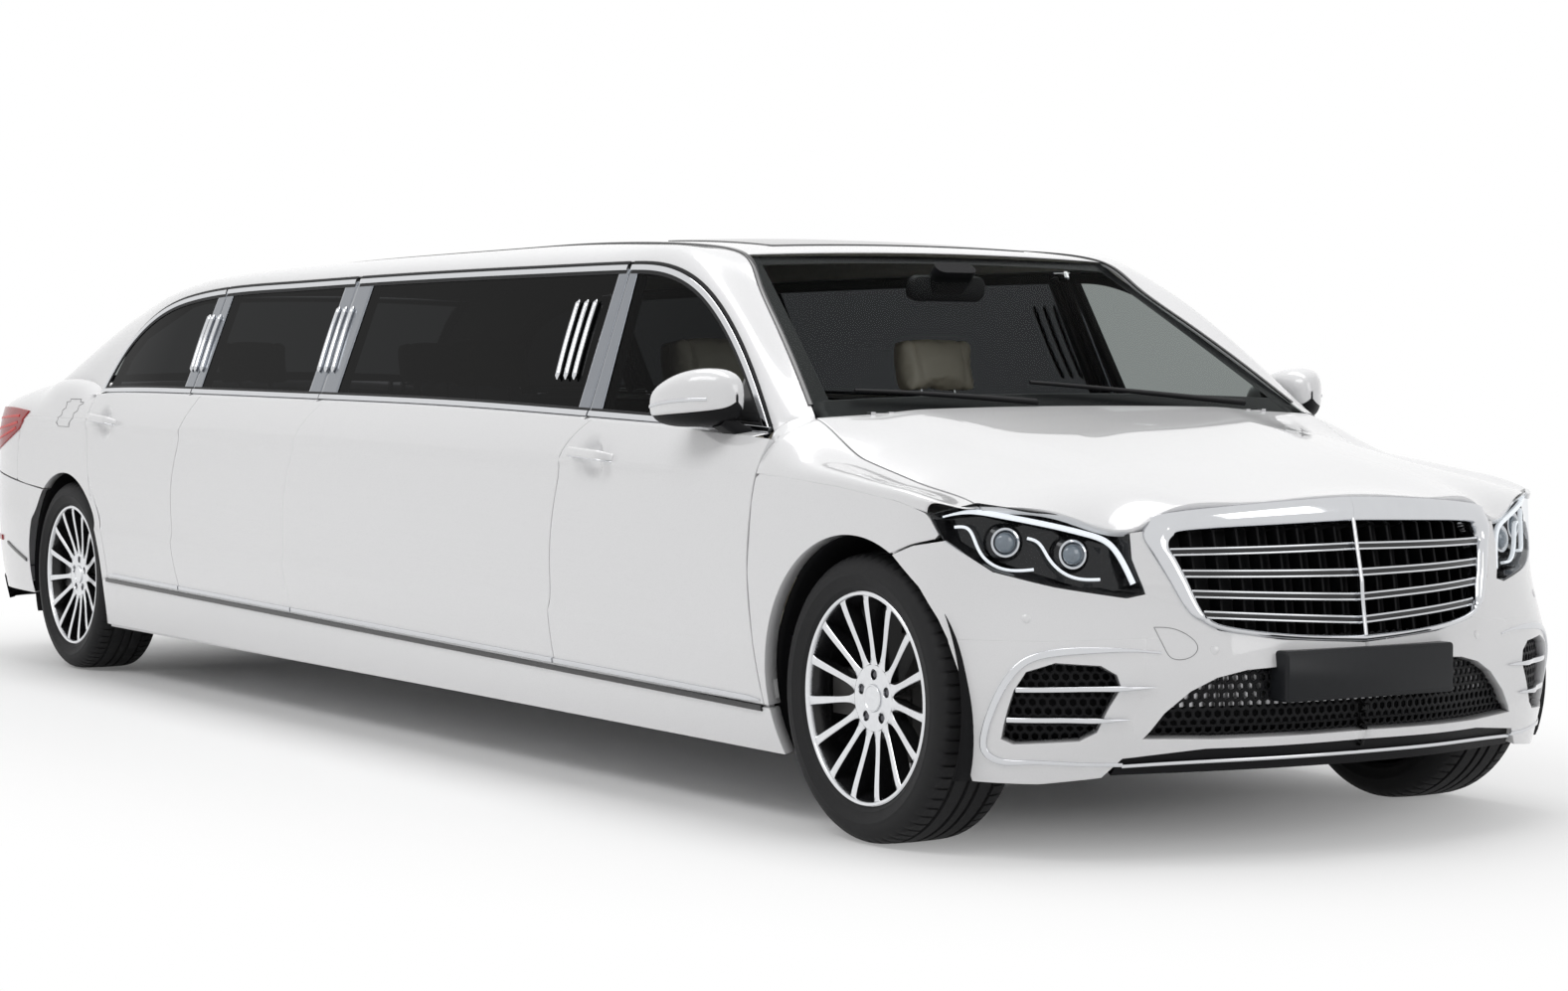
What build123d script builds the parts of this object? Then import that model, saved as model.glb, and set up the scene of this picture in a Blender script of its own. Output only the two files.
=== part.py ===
from build123d import *
import os
from math import radians, tan

# A stretched saloon limousine: hollow unitary body, hinged doors, bonnet and boot lid, steered front wheels.
# Millimetres. +X is forward, +Y is the car's left, +Z is up; the origin is on the ground under mid-length.
# Shapes are built for the left side (+Y) and mirrored to the right.

os.makedirs("parts", exist_ok=True)

# Overall sizes
WHEELBASE = 5290
FRONT_OVERHANG = 740
REAR_OVERHANG = 1130
TRACK_HALF = 812
PLATE_PROUD = 14  # the plate's face stands ahead of the bumper
LENGTH = PLATE_PROUD + FRONT_OVERHANG + WHEELBASE + REAR_OVERHANG
F = LENGTH / 2 - PLATE_PROUD - FRONT_OVERHANG  # x of the front axle
R = F - WHEELBASE  # x of the rear axle

# Walls and gaps
DOOR_WALL = 70
FRAME_WALL = 45
SKIN = 6
LID_WALL = 25
BUMPER_WALL = 40
GLASS_WALL = 6
GLASS_DEPTH = 12
SEAT_GAP = 0.3
SHUT_GAP = 8
TOP_ROOM = 22  # more room over the rear door, whose sloping top swings back under the roof rail

# Wheels and tyres
TYRE_R = 348
TYRE_W = 245
RIM_R = 254
RIM_W = 216
AXLE_Z = TYRE_R
ARCH_R = 392
LINER_WALL = 4
SPOKES = 15
DISC_R = 182
STUB_R = 26
RUN_GAP = 0.3
LINER_R = 404
LINER_EDGE_Y = 806
STEER_Y = TRACK_HALF - 32  # steering axis, just inside the wheel's mid plane

# Heights of the flank's main lines
SILL_TRIM_Z = 300
WINDOW_TOP_Z = 1385
ROOF_Z = 1500
FLOOR_WALL = 40

# Places along the car, from the front axle (F) or the rear axle (R)
FRONT_DOOR_NOSE = F - 455
FRONT_DOOR_TAIL = F - 1490
FRONT_PILLAR_TOP = F - 1420
MID_SEAM = R + 2010
REAR_DOOR_NOSE = R + 1062
REAR_DOOR_TAIL = R + 228
SCREEN_BASE = F - 400
SCREEN_TOP = F - 1060
BACKLIGHT_TOP = R + 330
BACKLIGHT_BASE = R - 400
FIREWALL_X = F - 330
FIREWALL_WALL = 15
NOSE_CUT = (F + 400, F + 900)  # reach of the cuts made from the front
SILL_INNER_Y = 560  # the floor ends and the sills and sides begin

# Section of the lower body: (half-width, height) at the sill, waist and shoulder
SILL = (908, 182)
WAIST = (953, 620)
SHOULDER = (902, 1028)
FLOOR_Z = SILL[1] + FLOOR_WALL

# Hood and boot deck: height where they start, fall per length, and drop of the crown at one metre out
HOOD_START = (F - 420, 1029)
HOOD_FALL = 0.19
HOOD_DROP = 88
DECK_START = (R - 380, 1066)
DECK_FALL = 0.075
DECK_DROP = 60

# Cabin section: half-width at the foot, (half-width, height) of the cant rail, its bend and the roof edge
CABIN_FOOT = (945, 900)
CANT_RAIL = (742, 1404)
RAIL_BEND = (690, 1452)
ROOF_EDGE = (560, 1482)
PILLAR_TAPER = 0.085  # the cabin narrows ahead of the front pillar and behind the rear one
TAPER_FRONT = F - 1250
TAPER_REAR = R + 800

# Nose and tail in plan: x at the centre, then (x, half-width) of the corner's start, middle and end
NOSE_PLAN = (F + FRONT_OVERHANG, (F + 650, 540), (F + 575, 760), (F + 390, 905), (F - 60, 962))
TAIL_PLAN = (R - REAR_OVERHANG, (R - 1085, 560), (R - 985, 800), (R - 690, 925), (R - 60, 962))
NOSE_LEAN = 0.2  # x per z above the bumper line
TAIL_LEAN = 0.16
BUMPER_LINE_Z = 470
LAMP_INNER = (F + 572, 545)
LAMP_RUN = (-0.58, 0.815)  # along the headlamp's face, inner end to outer end
WIDE = 1200
TALL = 1700

# Hinges
HINGE_BACK = 60  # axis behind the door's front edge
HINGE_DEPTH = 16  # axis inside the widest skin
HINGE_Y = 953 - HINGE_DEPTH
PIN_R = 4
EYE_R = 7.5
HINGE_HEIGHTS = (470, 740)
HINGE_TALL = 40
NOTCH_TALL = 54
PLUG_DRAFT = tan(radians(15))  # doors are plugs: their edges lean so that they clear the pillars as they open
HOOD_AXIS = (SCREEN_BASE + 10, 1012)
BOOT_AXIS = (BACKLIGHT_BASE - 10, 1062)
LID_PIN_R = 6
LID_HINGE_Y = 610


def line(a, b):
    return Edge.make_line(a, b)


def arc(a, via, b):
    return Edge.make_three_point_arc(a, via, b)


def face_of(*edges):
    return Face(Wire(list(edges)))


def polygon(points):
    """Flat face with straight sides through 3D points."""
    ring = list(points) + [points[0]]
    return face_of(*[line(a, b) for a, b in zip(ring, ring[1:])])


def prism(face, vector):
    return Solid.extrude(face, Vector(*vector))


def box(x0, x1, y0, y1, z0, z1):
    return Solid.make_box(x1 - x0, y1 - y0, z1 - z0, Plane((x0, y0, z0)))


def rod(x, y, z, radius, length, axis):
    """Cylinder that starts at a point and runs along an axis."""
    return Solid.make_cylinder(radius, length, Plane((x, y, z), z_dir=axis))


def mirrored(shape):
    return mirror(shape, about=Plane.XZ)


def both(shape):
    """The left piece and its mirrored twin, as one list of solids."""
    return list(shape.solids()) + list(mirrored(shape).solids())


def joined(*shapes):
    whole = shapes[0]
    for shape in shapes[1:]:
        whole = whole + shape
    return whole


def biggest(shape):
    """The main solid of a shape, without the chips that cutting leaves."""
    return max(shape.solids(), key=lambda s: s.volume)


def write(node, *shapes):
    solids = [s for shape in shapes for s in (shape if isinstance(shape, list) else shape.solids())]
    export_step(Compound(children=[Solid(s.wrapped) for s in solids]), f"parts/{node}.step")


# Master shapes: the lower body and the cabin, each at any inset from the outside


def beyond(point, normal):
    """Everything on the far side of a plane."""
    plane = Plane(point, z_dir=normal)
    corner = plane.from_local_coords((-6000, -6000, 0))
    return Solid.make_box(12000, 12000, 3000, Plane(corner, x_dir=plane.x_dir, z_dir=plane.z_dir))


def plan_trim(plan, inset, far_x):
    """Upright solid that rounds one end of the car in plan."""
    centre, start, middle, end, flank = plan
    way = 1 if far_x < 0 else -1
    centre = centre - way * inset
    start = (start[0] - way * inset, start[1] - 0.3 * inset)
    middle = (middle[0] - way * 0.7 * inset, middle[1] - 0.7 * inset)
    end = (end[0] - way * 0.3 * inset, end[1] - inset)
    flank = (flank[0], flank[1] - inset)

    def at(p, side=1):
        return (p[0], side * p[1], 0)

    outline = face_of(
        arc(at(start, -1), (centre, 0, 0), at(start)),
        arc(at(start), at(middle), at(end)),
        line(at(end), at(flank)),
        line(at(flank), (flank[0], WIDE, 0)),
        line((flank[0], WIDE, 0), (far_x, WIDE, 0)),
        line((far_x, WIDE, 0), (far_x, -WIDE, 0)),
        line((far_x, -WIDE, 0), (flank[0], -WIDE, 0)),
        line((flank[0], -WIDE, 0), at(flank, -1)),
        line(at(flank, -1), at(end, -1)),
        arc(at(end, -1), at(middle, -1), at(start, -1)),
    )
    return prism(outline, (0, 0, TALL))


def crowned(start, fall, drop, way, inset):
    """Everything above a crowned lid that runs from its start to the end of the car, falling on the way."""
    long = 1600
    plane = Plane((start[0], 0, start[1] - inset), x_dir=(0, way, 0), z_dir=(way, 0, -fall))
    points = [plane.from_local_coords(p) for p in ((-1000, -drop), (0, 0), (1000, -drop), (1000, 900), (-1000, 900))]
    face = face_of(
        arc(points[0], points[1], points[2]),
        line(points[2], points[3]),
        line(points[3], points[4]),
        line(points[4], points[0]),
    )
    return prism(face, plane.z_dir * long)


def tub(inset, floor_rise=None):
    """The body below the windows, inset from its outside; floor_rise lifts its underside."""
    rise = inset if floor_rise is None else floor_rise
    sill, low = SILL[0] - inset, SILL[1] + rise
    waist, shoulder = WAIST[0] - inset, SHOULDER[0] - inset
    x = -LENGTH
    section = face_of(
        line((x, -sill, low), (x, sill, low)),
        arc((x, sill, low), (x, waist, WAIST[1]), (x, shoulder, SHOULDER[1])),
        line((x, shoulder, SHOULDER[1]), (x, shoulder - 10, SHOULDER[1] + 60)),
        line((x, shoulder - 10, SHOULDER[1] + 60), (x, -shoulder + 10, SHOULDER[1] + 60)),
        line((x, -shoulder + 10, SHOULDER[1] + 60), (x, -shoulder, SHOULDER[1])),
        arc((x, -shoulder, SHOULDER[1]), (x, -waist, WAIST[1]), (x, -sill, low)),
    )
    body = prism(section, (2 * LENGTH, 0, 0))
    body = body & plan_trim(NOSE_PLAN, inset, -LENGTH) & plan_trim(TAIL_PLAN, inset, LENGTH)
    body = body - crowned(HOOD_START, HOOD_FALL, HOOD_DROP, 1, inset)
    body = body - crowned(DECK_START, DECK_FALL, DECK_DROP, -1, inset)
    cover = SHOULDER[1] - (inset if inset > 0 else 0)
    body = body - box(DECK_START[0] - 20, HOOD_START[0] + 20, -WIDE, WIDE, cover, TALL)
    body = body - beyond((NOSE_PLAN[0] - inset, 0, BUMPER_LINE_Z), (1, 0, NOSE_LEAN))
    body = body - beyond((TAIL_PLAN[0] + inset, 0, BUMPER_LINE_Z + 150), (-1, 0, TAIL_LEAN))
    for side in (1, -1):
        at = (LAMP_INNER[0] - 0.815 * inset, side * (LAMP_INNER[1] - 0.58 * inset), 640)
        body = body - beyond(at, (LAMP_RUN[1], -side * LAMP_RUN[0], 0.25))
    return biggest(body)


def cabin(inset):
    """The glazed upper body, inset from its outside."""
    x = -LENGTH
    foot, foot_z = CABIN_FOOT[0] - inset, CABIN_FOOT[1]
    rail, rail_z = CANT_RAIL[0] - inset, CANT_RAIL[1] - 0.3 * inset
    bend, bend_z = RAIL_BEND[0] - 0.8 * inset, RAIL_BEND[1] - 0.7 * inset
    edge, edge_z = ROOF_EDGE[0], ROOF_EDGE[1] - inset
    section = face_of(
        line((x, -foot, foot_z), (x, foot, foot_z)),
        line((x, foot, foot_z), (x, rail, rail_z)),
        arc((x, rail, rail_z), (x, bend, bend_z), (x, edge, edge_z)),
        arc((x, edge, edge_z), (x, 0, ROOF_Z - inset), (x, -edge, edge_z)),
        arc((x, -edge, edge_z), (x, -bend, bend_z), (x, -rail, rail_z)),
        line((x, -rail, rail_z), (x, -foot, foot_z)),
    )
    body = prism(section, (2 * LENGTH, 0, 0))
    base_f = (SCREEN_BASE - 2 * inset, 1020)
    top_f = (SCREEN_TOP - 2 * inset, 1436 - 0.5 * inset)
    crest_f = (F - 2100, ROOF_Z + 2 - inset)
    crest_r = (R + 1900, ROOF_Z + 2 - inset)
    top_r = (BACKLIGHT_TOP + 2 * inset, 1428 - 0.5 * inset)
    base_r = (BACKLIGHT_BASE + 2 * inset, 1058)

    def at(p):
        return (p[0], -WIDE, p[1])

    def between(a, b, lift_x, lift_z):
        return ((a[0] + b[0]) / 2 + lift_x, -WIDE, (a[1] + b[1]) / 2 + lift_z)

    profile = face_of(
        line((base_f[0] + 150, -WIDE, foot_z - 50), at(base_f)),
        arc(at(base_f), between(base_f, top_f, 14, 16), at(top_f)),
        arc(at(top_f), between(top_f, crest_f, 60, 12), at(crest_f)),
        line(at(crest_f), at(crest_r)),
        arc(at(crest_r), between(crest_r, top_r, -60, 14), at(top_r)),
        arc(at(top_r), between(top_r, base_r, -16, 18), at(base_r)),
        line(at(base_r), (base_r[0] - 150, -WIDE, foot_z - 50)),
        line((base_r[0] - 150, -WIDE, foot_z - 50), (base_f[0] + 150, -WIDE, foot_z - 50)),
    )
    body = body & prism(profile, (0, 2 * WIDE, 0))
    lean = (CABIN_FOOT[0] - CANT_RAIL[0]) / (CANT_RAIL[1] - CABIN_FOOT[1])
    for side in (1, -1):
        for corner, way in ((TAPER_FRONT, 1), (TAPER_REAR, -1)):
            body = body - beyond((corner, side * rail, rail_z), (way * PILLAR_TAPER, side, lean))
    return body


# Side outlines, seen from the left: points are (x, z)


def skin_y(z):
    """Half-width of the flank at a height, near enough to place leaning door edges."""
    return 945 if z < 1000 else 905 - 0.4 * (z - 1000)


def plug(points, grow=0):
    """Leaning prism through the left flank for a door's outline, grown all round for its opening."""
    flat = [(x - PLUG_DRAFT * (WIDE - skin_y(z)), WIDE, z) for x, z in points]
    face = polygon(flat)
    if grow:
        face = offset(face, grow, kind=Kind.INTERSECTION).faces()[0]
    deep = 900
    return prism(face, (PLUG_DRAFT * deep, -deep, 0))


def pane(points, shrink=0):
    """Straight prism through the left flank for a window or its glass."""
    face = polygon([(x, 0, z) for x, z in points])
    if shrink:
        face = offset(face, -shrink, kind=Kind.INTERSECTION).faces()[0]
    return prism(face, (0, WIDE, 0))


FRONT_DOOR = (
    (F - 400, 935),
    (F - 436, 800),
    (FRONT_DOOR_NOSE, 640),
    (F - 442, 470),
    (F - 413, SILL_TRIM_Z + 10),
    (FRONT_DOOR_TAIL, SILL_TRIM_Z + 10),
    (FRONT_DOOR_TAIL, 720),
    (F - 1440, 900),
    (F - 1335, 1010),
    (FRONT_PILLAR_TOP, WINDOW_TOP_Z + 22),
    (F - 1215, WINDOW_TOP_Z + 12),
    (F - 1015, 1345),
    (F - 815, 1240),
    (F - 645, 1115),
    (F - 480, 985),
)
FRONT_WINDOW = (
    (F - 620, 1008),
    (F - 1300, 1024),
    (F - 1378, WINDOW_TOP_Z - 8),
    (F - 1235, WINDOW_TOP_Z - 20),
    (F - 1050, 1312),
    (F - 865, 1215),
    (F - 715, 1105),
)
LONG_WINDOW = (
    (F - 1398, 1026),
    (MID_SEAM + 165, 1046),
    (MID_SEAM + 135, WINDOW_TOP_Z - 6),
    (F - 1475, WINDOW_TOP_Z - 6),
)
SHORT_WINDOW = (
    (MID_SEAM + 50, 1048),
    (REAR_DOOR_NOSE + 190, 1054),
    (REAR_DOOR_NOSE + 130, WINDOW_TOP_Z - 14),
    (MID_SEAM + 25, WINDOW_TOP_Z - 6),
)
REAR_WINDOW = (
    (REAR_DOOR_NOSE + 75, 1056),
    (R + 300, 1056),
    (R + 400, 1190),
    (R + 500, 1272),
    (R + 650, 1322),
    (REAR_DOOR_NOSE + 15, WINDOW_TOP_Z - 22),
)
REAR_DOOR = (
    (REAR_DOOR_NOSE + 128, 1030),
    (REAR_DOOR_NOSE + 66, 915),
    (REAR_DOOR_NOSE, 700),
    (REAR_DOOR_NOSE, SILL_TRIM_Z + 35),
    (R + 350, SILL_TRIM_Z + 35),
    (REAR_DOOR_TAIL, 800),
    (REAR_DOOR_TAIL, 940),
    (R + 245, 1030),
    (R + 350, 1190),
    (R + 455, 1288),
    (R + 640, 1348),
    (REAR_DOOR_NOSE + 52, WINDOW_TOP_Z + 4),
)


# Outlines seen from the front or the rear (half-width, height), from above (x, half-width), and of the lamps

SCREEN = ((800, 1030), (598, 1424))
BACKLIGHT = ((735, 1068), (530, 1412))
HOOD_PLAN = ((F - 372, 795), (F + 240, 740), (F + 420, 610), (F + 540, 500), (F + 640, 0))
BOOT_PLAN = ((BACKLIGHT_BASE - 28, 700), (R - 800, 690), (R - 960, 560), (R - 1300, 560))
BOOT_LOW_Z = 720
BUMPER_TOP_Z = 690
GRILLE = ((505, 792), (520, 740), (430, 560), (345, 500))
INTAKE = ((400, 425), (560, 335), (620, 268))
SIDE_INTAKE = ((640, 420), (850, 420), (862, 330), (690, 300))
PLATE = (520, 112)
PLATE_Z = 372
HEADLAMP = ((0, 625), (116, 630), (316, 660), (426, 740), (466, 790), (366, 825), (166, 815), (36, 780))
TAIL_INNER = (R - 1100, 575)
TAIL_RUN = (0.82, 0.572)
TAILLAMP = ((0, 780), (320, 800), (600, 900), (610, 935), (330, 955), (0, 930))


def arch(x, radius, y0=480):
    """Round space for a left wheel, open to the outside."""
    return rod(x, y0, AXLE_Z, radius, WIDE - y0, (0, 1, 0))


def front_view(half_points, x0, x1):
    """Prism along X from the left half of an outline; the right half mirrors it."""
    ring = [(x0, y, z) for y, z in half_points] + [(x0, -y, z) for y, z in reversed(half_points)]
    return prism(polygon(ring), (x1 - x0, 0, 0))


def plan_view(half_points, z0, z1):
    ring = [(x, y, z0) for x, y in half_points]
    ring += [(x, -y, z0) for x, y in reversed(half_points) if y > 0]
    return prism(polygon(ring), (0, 0, z1 - z0))


def lamp_prism(inner, run, points, grow=0):
    """Prism square to a lamp's face, from points (along the face, height)."""
    face = polygon([(inner[0] + run[0] * s, inner[1] + run[1] * s, z) for s, z in points])
    if grow:
        face = offset(face, grow, kind=Kind.INTERSECTION).faces()[0]
    normal = (run[1], -run[0]) if run[0] < 0 else (-run[1], run[0])
    back = 220
    start = face.moved(Location((-normal[0] * back, -normal[1] * back, 0)))
    return prism(start, (normal[0] * 2 * back, normal[1] * 2 * back, 0))


# Hollow body: thick cabin walls, thinner skins ahead of and behind the cabin

outer = tub(0)
cabin_outer = cabin(0)
cabin_inner = cabin(FRAME_WALL)
skin_inner = tub(SKIN)
lid_inner = tub(LID_WALL)
bumper_inner = tub(BUMPER_WALL)
left_half = box(-LENGTH, LENGTH, 0, WIDE, -100, TALL)
cabin_space = box(R - 160, FIREWALL_X, -WIDE, WIDE, -100, TALL)
boot_space = box(-LENGTH, R - 160, -WIDE, WIDE, -100, TALL)
whole_left = (outer + cabin_outer) & left_half
hollow = (tub(DOOR_WALL, FLOOR_WALL) & cabin_space) + (lid_inner & boot_space) + cabin_inner
wall = whole_left - hollow

front_arch = arch(F, ARCH_R)
rear_arch = arch(R, ARCH_R)
screen_cut = front_view(SCREEN, F - 1300, F - 250)
backlight_cut = front_view(BACKLIGHT, R - 600, R + 520)
hood_cut = plan_view(HOOD_PLAN, 650, TALL)
hood_gap_plan = [(HOOD_PLAN[0][0] - 30, HOOD_PLAN[0][1] + SHUT_GAP)]
hood_gap_plan += [(x + SHUT_GAP, y + SHUT_GAP * (y > 0)) for x, y in HOOD_PLAN[1:]]
hood_gap = plan_view(hood_gap_plan, 640, TALL)
boot_cut = plan_view(BOOT_PLAN, BOOT_LOW_Z, TALL)
headlamp_cut = lamp_prism(LAMP_INNER, LAMP_RUN, HEADLAMP)
taillamp_cut = lamp_prism(TAIL_INNER, TAIL_RUN, TAILLAMP)

# Doors and the fixed body side

panes = {"front": FRONT_WINDOW, "long": LONG_WINDOW, "short": SHORT_WINDOW, "rear": REAR_WINDOW}
cuts = {name: pane(points) for name, points in panes.items()}
flank = wall & box(R - 900, FIREWALL_X, SILL_INNER_Y, WIDE, SILL_TRIM_Z, TALL)
lean = (CABIN_FOOT[0] - CANT_RAIL[0]) / (CANT_RAIL[1] - CABIN_FOOT[1])
frame_back = CANT_RAIL[0] - FRAME_WALL - 20
indoors = beyond((0, frame_back, CANT_RAIL[1]), (0, -1, -lean))
indoors = indoors & beyond((TAPER_FRONT, frame_back, CANT_RAIL[1]), (-PILLAR_TAPER, -1, -lean))
indoors = indoors & box(-LENGTH, LENGTH, 0, WIDE, 1000, TALL)
cowl_bay = box(F - 560, F - 300, 0, 790, 850, 1034)
front_door = (flank & plug(FRONT_DOOR)) - cuts["front"] - screen_cut - indoors - cowl_bay - hood_gap
rear_door = (flank & plug(REAR_DOOR)) - cuts["rear"] - arch(R, ARCH_R + 62)
front_opening = plug(FRONT_DOOR, SHUT_GAP)
rear_raised = [(x, z + TOP_ROOM) for x, z in REAR_DOOR]
rear_opening = (plug(REAR_DOOR, SHUT_GAP) + plug(rear_raised, SHUT_GAP)) - arch(R, ARCH_R + 62 - SHUT_GAP)

boot_gap = plan_view([(x + SHUT_GAP, y + SHUT_GAP) for x, y in BOOT_PLAN], BOOT_LOW_Z - SHUT_GAP, TALL)
tail_side = wall & box(-LENGTH, R - 900, 500, WIDE, BUMPER_TOP_Z, TALL)
body_side = (flank + tail_side) - front_opening - rear_opening - cuts["long"] - cuts["short"]
body_side = body_side - front_arch - rear_arch - screen_cut - backlight_cut - boot_gap - hood_gap
body_side = body_side - lamp_prism(TAIL_INNER, TAIL_RUN, TAILLAMP, SEAT_GAP) - cowl_bay
body_side = body_side - box(R - 450, R - 370, 0, 690, 900, 1100)
body_side = body_side - box(-LENGTH, R - 300, 0, WIDE, -100, BUMPER_TOP_Z + SEAT_GAP)
pillar_zone = box(F - 500, FIREWALL_X, SILL_INNER_Y, WIDE, -100, 935)
body_side = (body_side - pillar_zone) + (body_side & pillar_zone & tub(SKIN + SEAT_GAP))
body_side = body_side - box(F - 500, F - 200, SILL_INNER_Y, WIDE, 900, 935)


# Door hinges: a pin in a notch of each door, turning in the eye of a bracket fixed to the pillar ahead of it


def hinged(door, axis_x, nose_x):
    """Cuts the hinge notches into a left door and sets a pin in each."""
    for z in HINGE_HEIGHTS:
        notch = box(axis_x - 14, nose_x + 60, 700, HINGE_Y + EYE_R + 0.5, z - NOTCH_TALL / 2, z + NOTCH_TALL / 2)
        pin = rod(axis_x, HINGE_Y, z - NOTCH_TALL / 2 - 5, PIN_R, NOTCH_TALL + 10, (0, 0, 1))
        door = (door - notch) + pin
    return door


def hinge_brackets(axis_x, nose_x):
    """Left brackets of one door: an eye, an arm inboard and a leg forward to a pad on the pillar."""
    arm_y = HINGE_Y - 91
    leg_y = HINGE_Y - 69
    brackets = []
    for z in HINGE_HEIGHTS:
        low, high = z - HINGE_TALL / 2, z + HINGE_TALL / 2
        eye = rod(axis_x, HINGE_Y, low, EYE_R, HINGE_TALL, (0, 0, 1))
        arm = box(axis_x - EYE_R, axis_x + EYE_R, arm_y, HINGE_Y, low, high)
        leg = box(axis_x - EYE_R, nose_x + 75, arm_y, leg_y, low, high)
        pad = box(nose_x + 38, nose_x + 75, arm_y, HINGE_Y - 30, low, high)
        bore = rod(axis_x, HINGE_Y, low - 1, PIN_R + RUN_GAP, HINGE_TALL + 2, (0, 0, 1))
        brackets.append(eye + arm + leg + pad - bore - body_side)
    return brackets


FRONT_AXIS_X = FRONT_DOOR_NOSE - HINGE_BACK
REAR_AXIS_X = REAR_DOOR_NOSE - HINGE_BACK
front_door = hinged(front_door, FRONT_AXIS_X, FRONT_DOOR_NOSE)
rear_door = hinged(rear_door, REAR_AXIS_X, REAR_DOOR_NOSE)
brackets = hinge_brackets(FRONT_AXIS_X, FRONT_DOOR_NOSE) + hinge_brackets(REAR_AXIS_X, REAR_DOOR_NOSE)

write("front_door_left", front_door)
write("front_door_right", mirrored(front_door))
write("rear_door_left", rear_door)
write("rear_door_right", mirrored(rear_door))
write("body_sides", both(body_side))
write("door_hinges", *[both(b) for b in brackets])

# Floor with bulkheads, sills and roof

sill = (wall & box(R - 160, FIREWALL_X, SILL_INNER_Y, WIDE, -100, SILL_TRIM_Z - SEAT_GAP)) - front_arch - rear_arch
sill = sill - arch(R, LINER_R + LINER_WALL + SEAT_GAP) - arch(F, LINER_R + LINER_WALL + SEAT_GAP, 480)
write("sills", both(sill))

COWL_Z = 890
AXLE_BAY = 260  # half-length of the raised floor over the rear axle
AXLE_ROOF_Z = 470
floor_left = wall & box(R - 1000, FIREWALL_X, 0, SILL_INNER_Y - SEAT_GAP, -100, SILL_TRIM_Z)
floor = floor_left + mirrored(floor_left)
firewall = box(FIREWALL_X - FIREWALL_WALL, FIREWALL_X, -WIDE, WIDE, 200, COWL_Z) & tub(DOOR_WALL + SEAT_GAP, FLOOR_WALL - 10)
firewall = firewall - box(F - 400, F - 300, SILL_INNER_Y, WIDE, 0, SILL_TRIM_Z)
firewall = firewall - mirrored(box(F - 400, F - 300, SILL_INNER_Y, WIDE, 0, SILL_TRIM_Z))
rear_wall = box(R - 175, R - 160, -720, 720, 200, 1000) & tub(DOOR_WALL + 12, FLOOR_WALL - 10)
SHELF_Z = 940
shelf = box(R - 440, R - 170, -650, 650, SHELF_Z - 15, SHELF_Z)
bay = box(R - AXLE_BAY, R + AXLE_BAY, -SILL_INNER_Y + SEAT_GAP, SILL_INNER_Y - SEAT_GAP, 190, AXLE_ROOF_Z)
bay_space = box(R - AXLE_BAY + 15, R + AXLE_BAY - 15, -WIDE, WIDE, 0, AXLE_ROOF_Z - 15)
floor = floor + bay + firewall + rear_wall + shelf - bay_space
for x in (F, R):
    well = arch(x, LINER_R + LINER_WALL + SEAT_GAP)
    floor = floor - well - mirrored(well)
rear_seal = box(R - 400, R + 60, 440, WIDE, SILL_TRIM_Z - SEAT_GAP, 800)
floor = floor - (rear_seal & body_side) - mirrored(rear_seal & body_side)
JACKS = ((F - 620, 700), (R + 620, 700))
JACK_PAD = 60
JACK_Z = 150
pads = []
for x, y in JACKS:
    pad = box(x - JACK_PAD / 2, x + JACK_PAD / 2, y - JACK_PAD / 2, y + JACK_PAD / 2, JACK_Z, 205) - sill
    pads += both(pad)
write("jack_pads", pads)
write("floor_pan", floor)

roof_zone = box(R - 200, F - 900, -ROOF_EDGE[0] + SEAT_GAP, ROOF_EDGE[0] - SEAT_GAP, 1300, TALL)
roof = ((cabin_outer - cabin_inner) & roof_zone) - screen_cut - backlight_cut
write("roof", roof)

# Front end

hood = (outer - lid_inner) & hood_cut
hood = hood - lamp_prism(LAMP_INNER, LAMP_RUN, HEADLAMP, SHUT_GAP)
hood = hood - mirrored(lamp_prism(LAMP_INNER, LAMP_RUN, HEADLAMP, SHUT_GAP))
lamp_seat = lamp_prism(LAMP_INNER, LAMP_RUN, HEADLAMP, SEAT_GAP)
bumper_zone = box(F + 60, NOSE_CUT[1], 0, WIDE, 0, BUMPER_TOP_Z)
bumper_zone = bumper_zone + box(F + 555, NOSE_CUT[1], 0, 600, 600, 900)
grille_cut = front_view(GRILLE, *NOSE_CUT)
fender = (outer - skin_inner) & box(F - 520, F + 560, 500, WIDE, SILL_TRIM_Z - 60, 1100)
fender = fender - front_opening - hood_gap - bumper_zone - lamp_seat - front_arch - cabin_outer - body_side
fender = fender - grille_cut
fender = fender - box(F - 520, FIREWALL_X, 500, WIDE, 0, SILL_TRIM_Z + SEAT_GAP)
fender = biggest(fender)
write("fenders", both(fender))

bumper = ((outer - bumper_inner) & bumper_zone) - hood_gap - lamp_seat - front_arch - grille_cut
intake_cut = front_view(INTAKE, *NOSE_CUT)
side_cut = prism(polygon([(F + 425, y, z) for y, z in SIDE_INTAKE]), (500, 0, 0))
bumper = bumper - intake_cut - side_cut - box(F, F + 250, 0, 480, 0, 600) - fender
bumper = bumper - arch(F, LINER_R + LINER_WALL + SEAT_GAP)
bumper = biggest(bumper)
write("front_bumper", bumper + mirrored(bumper))

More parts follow.
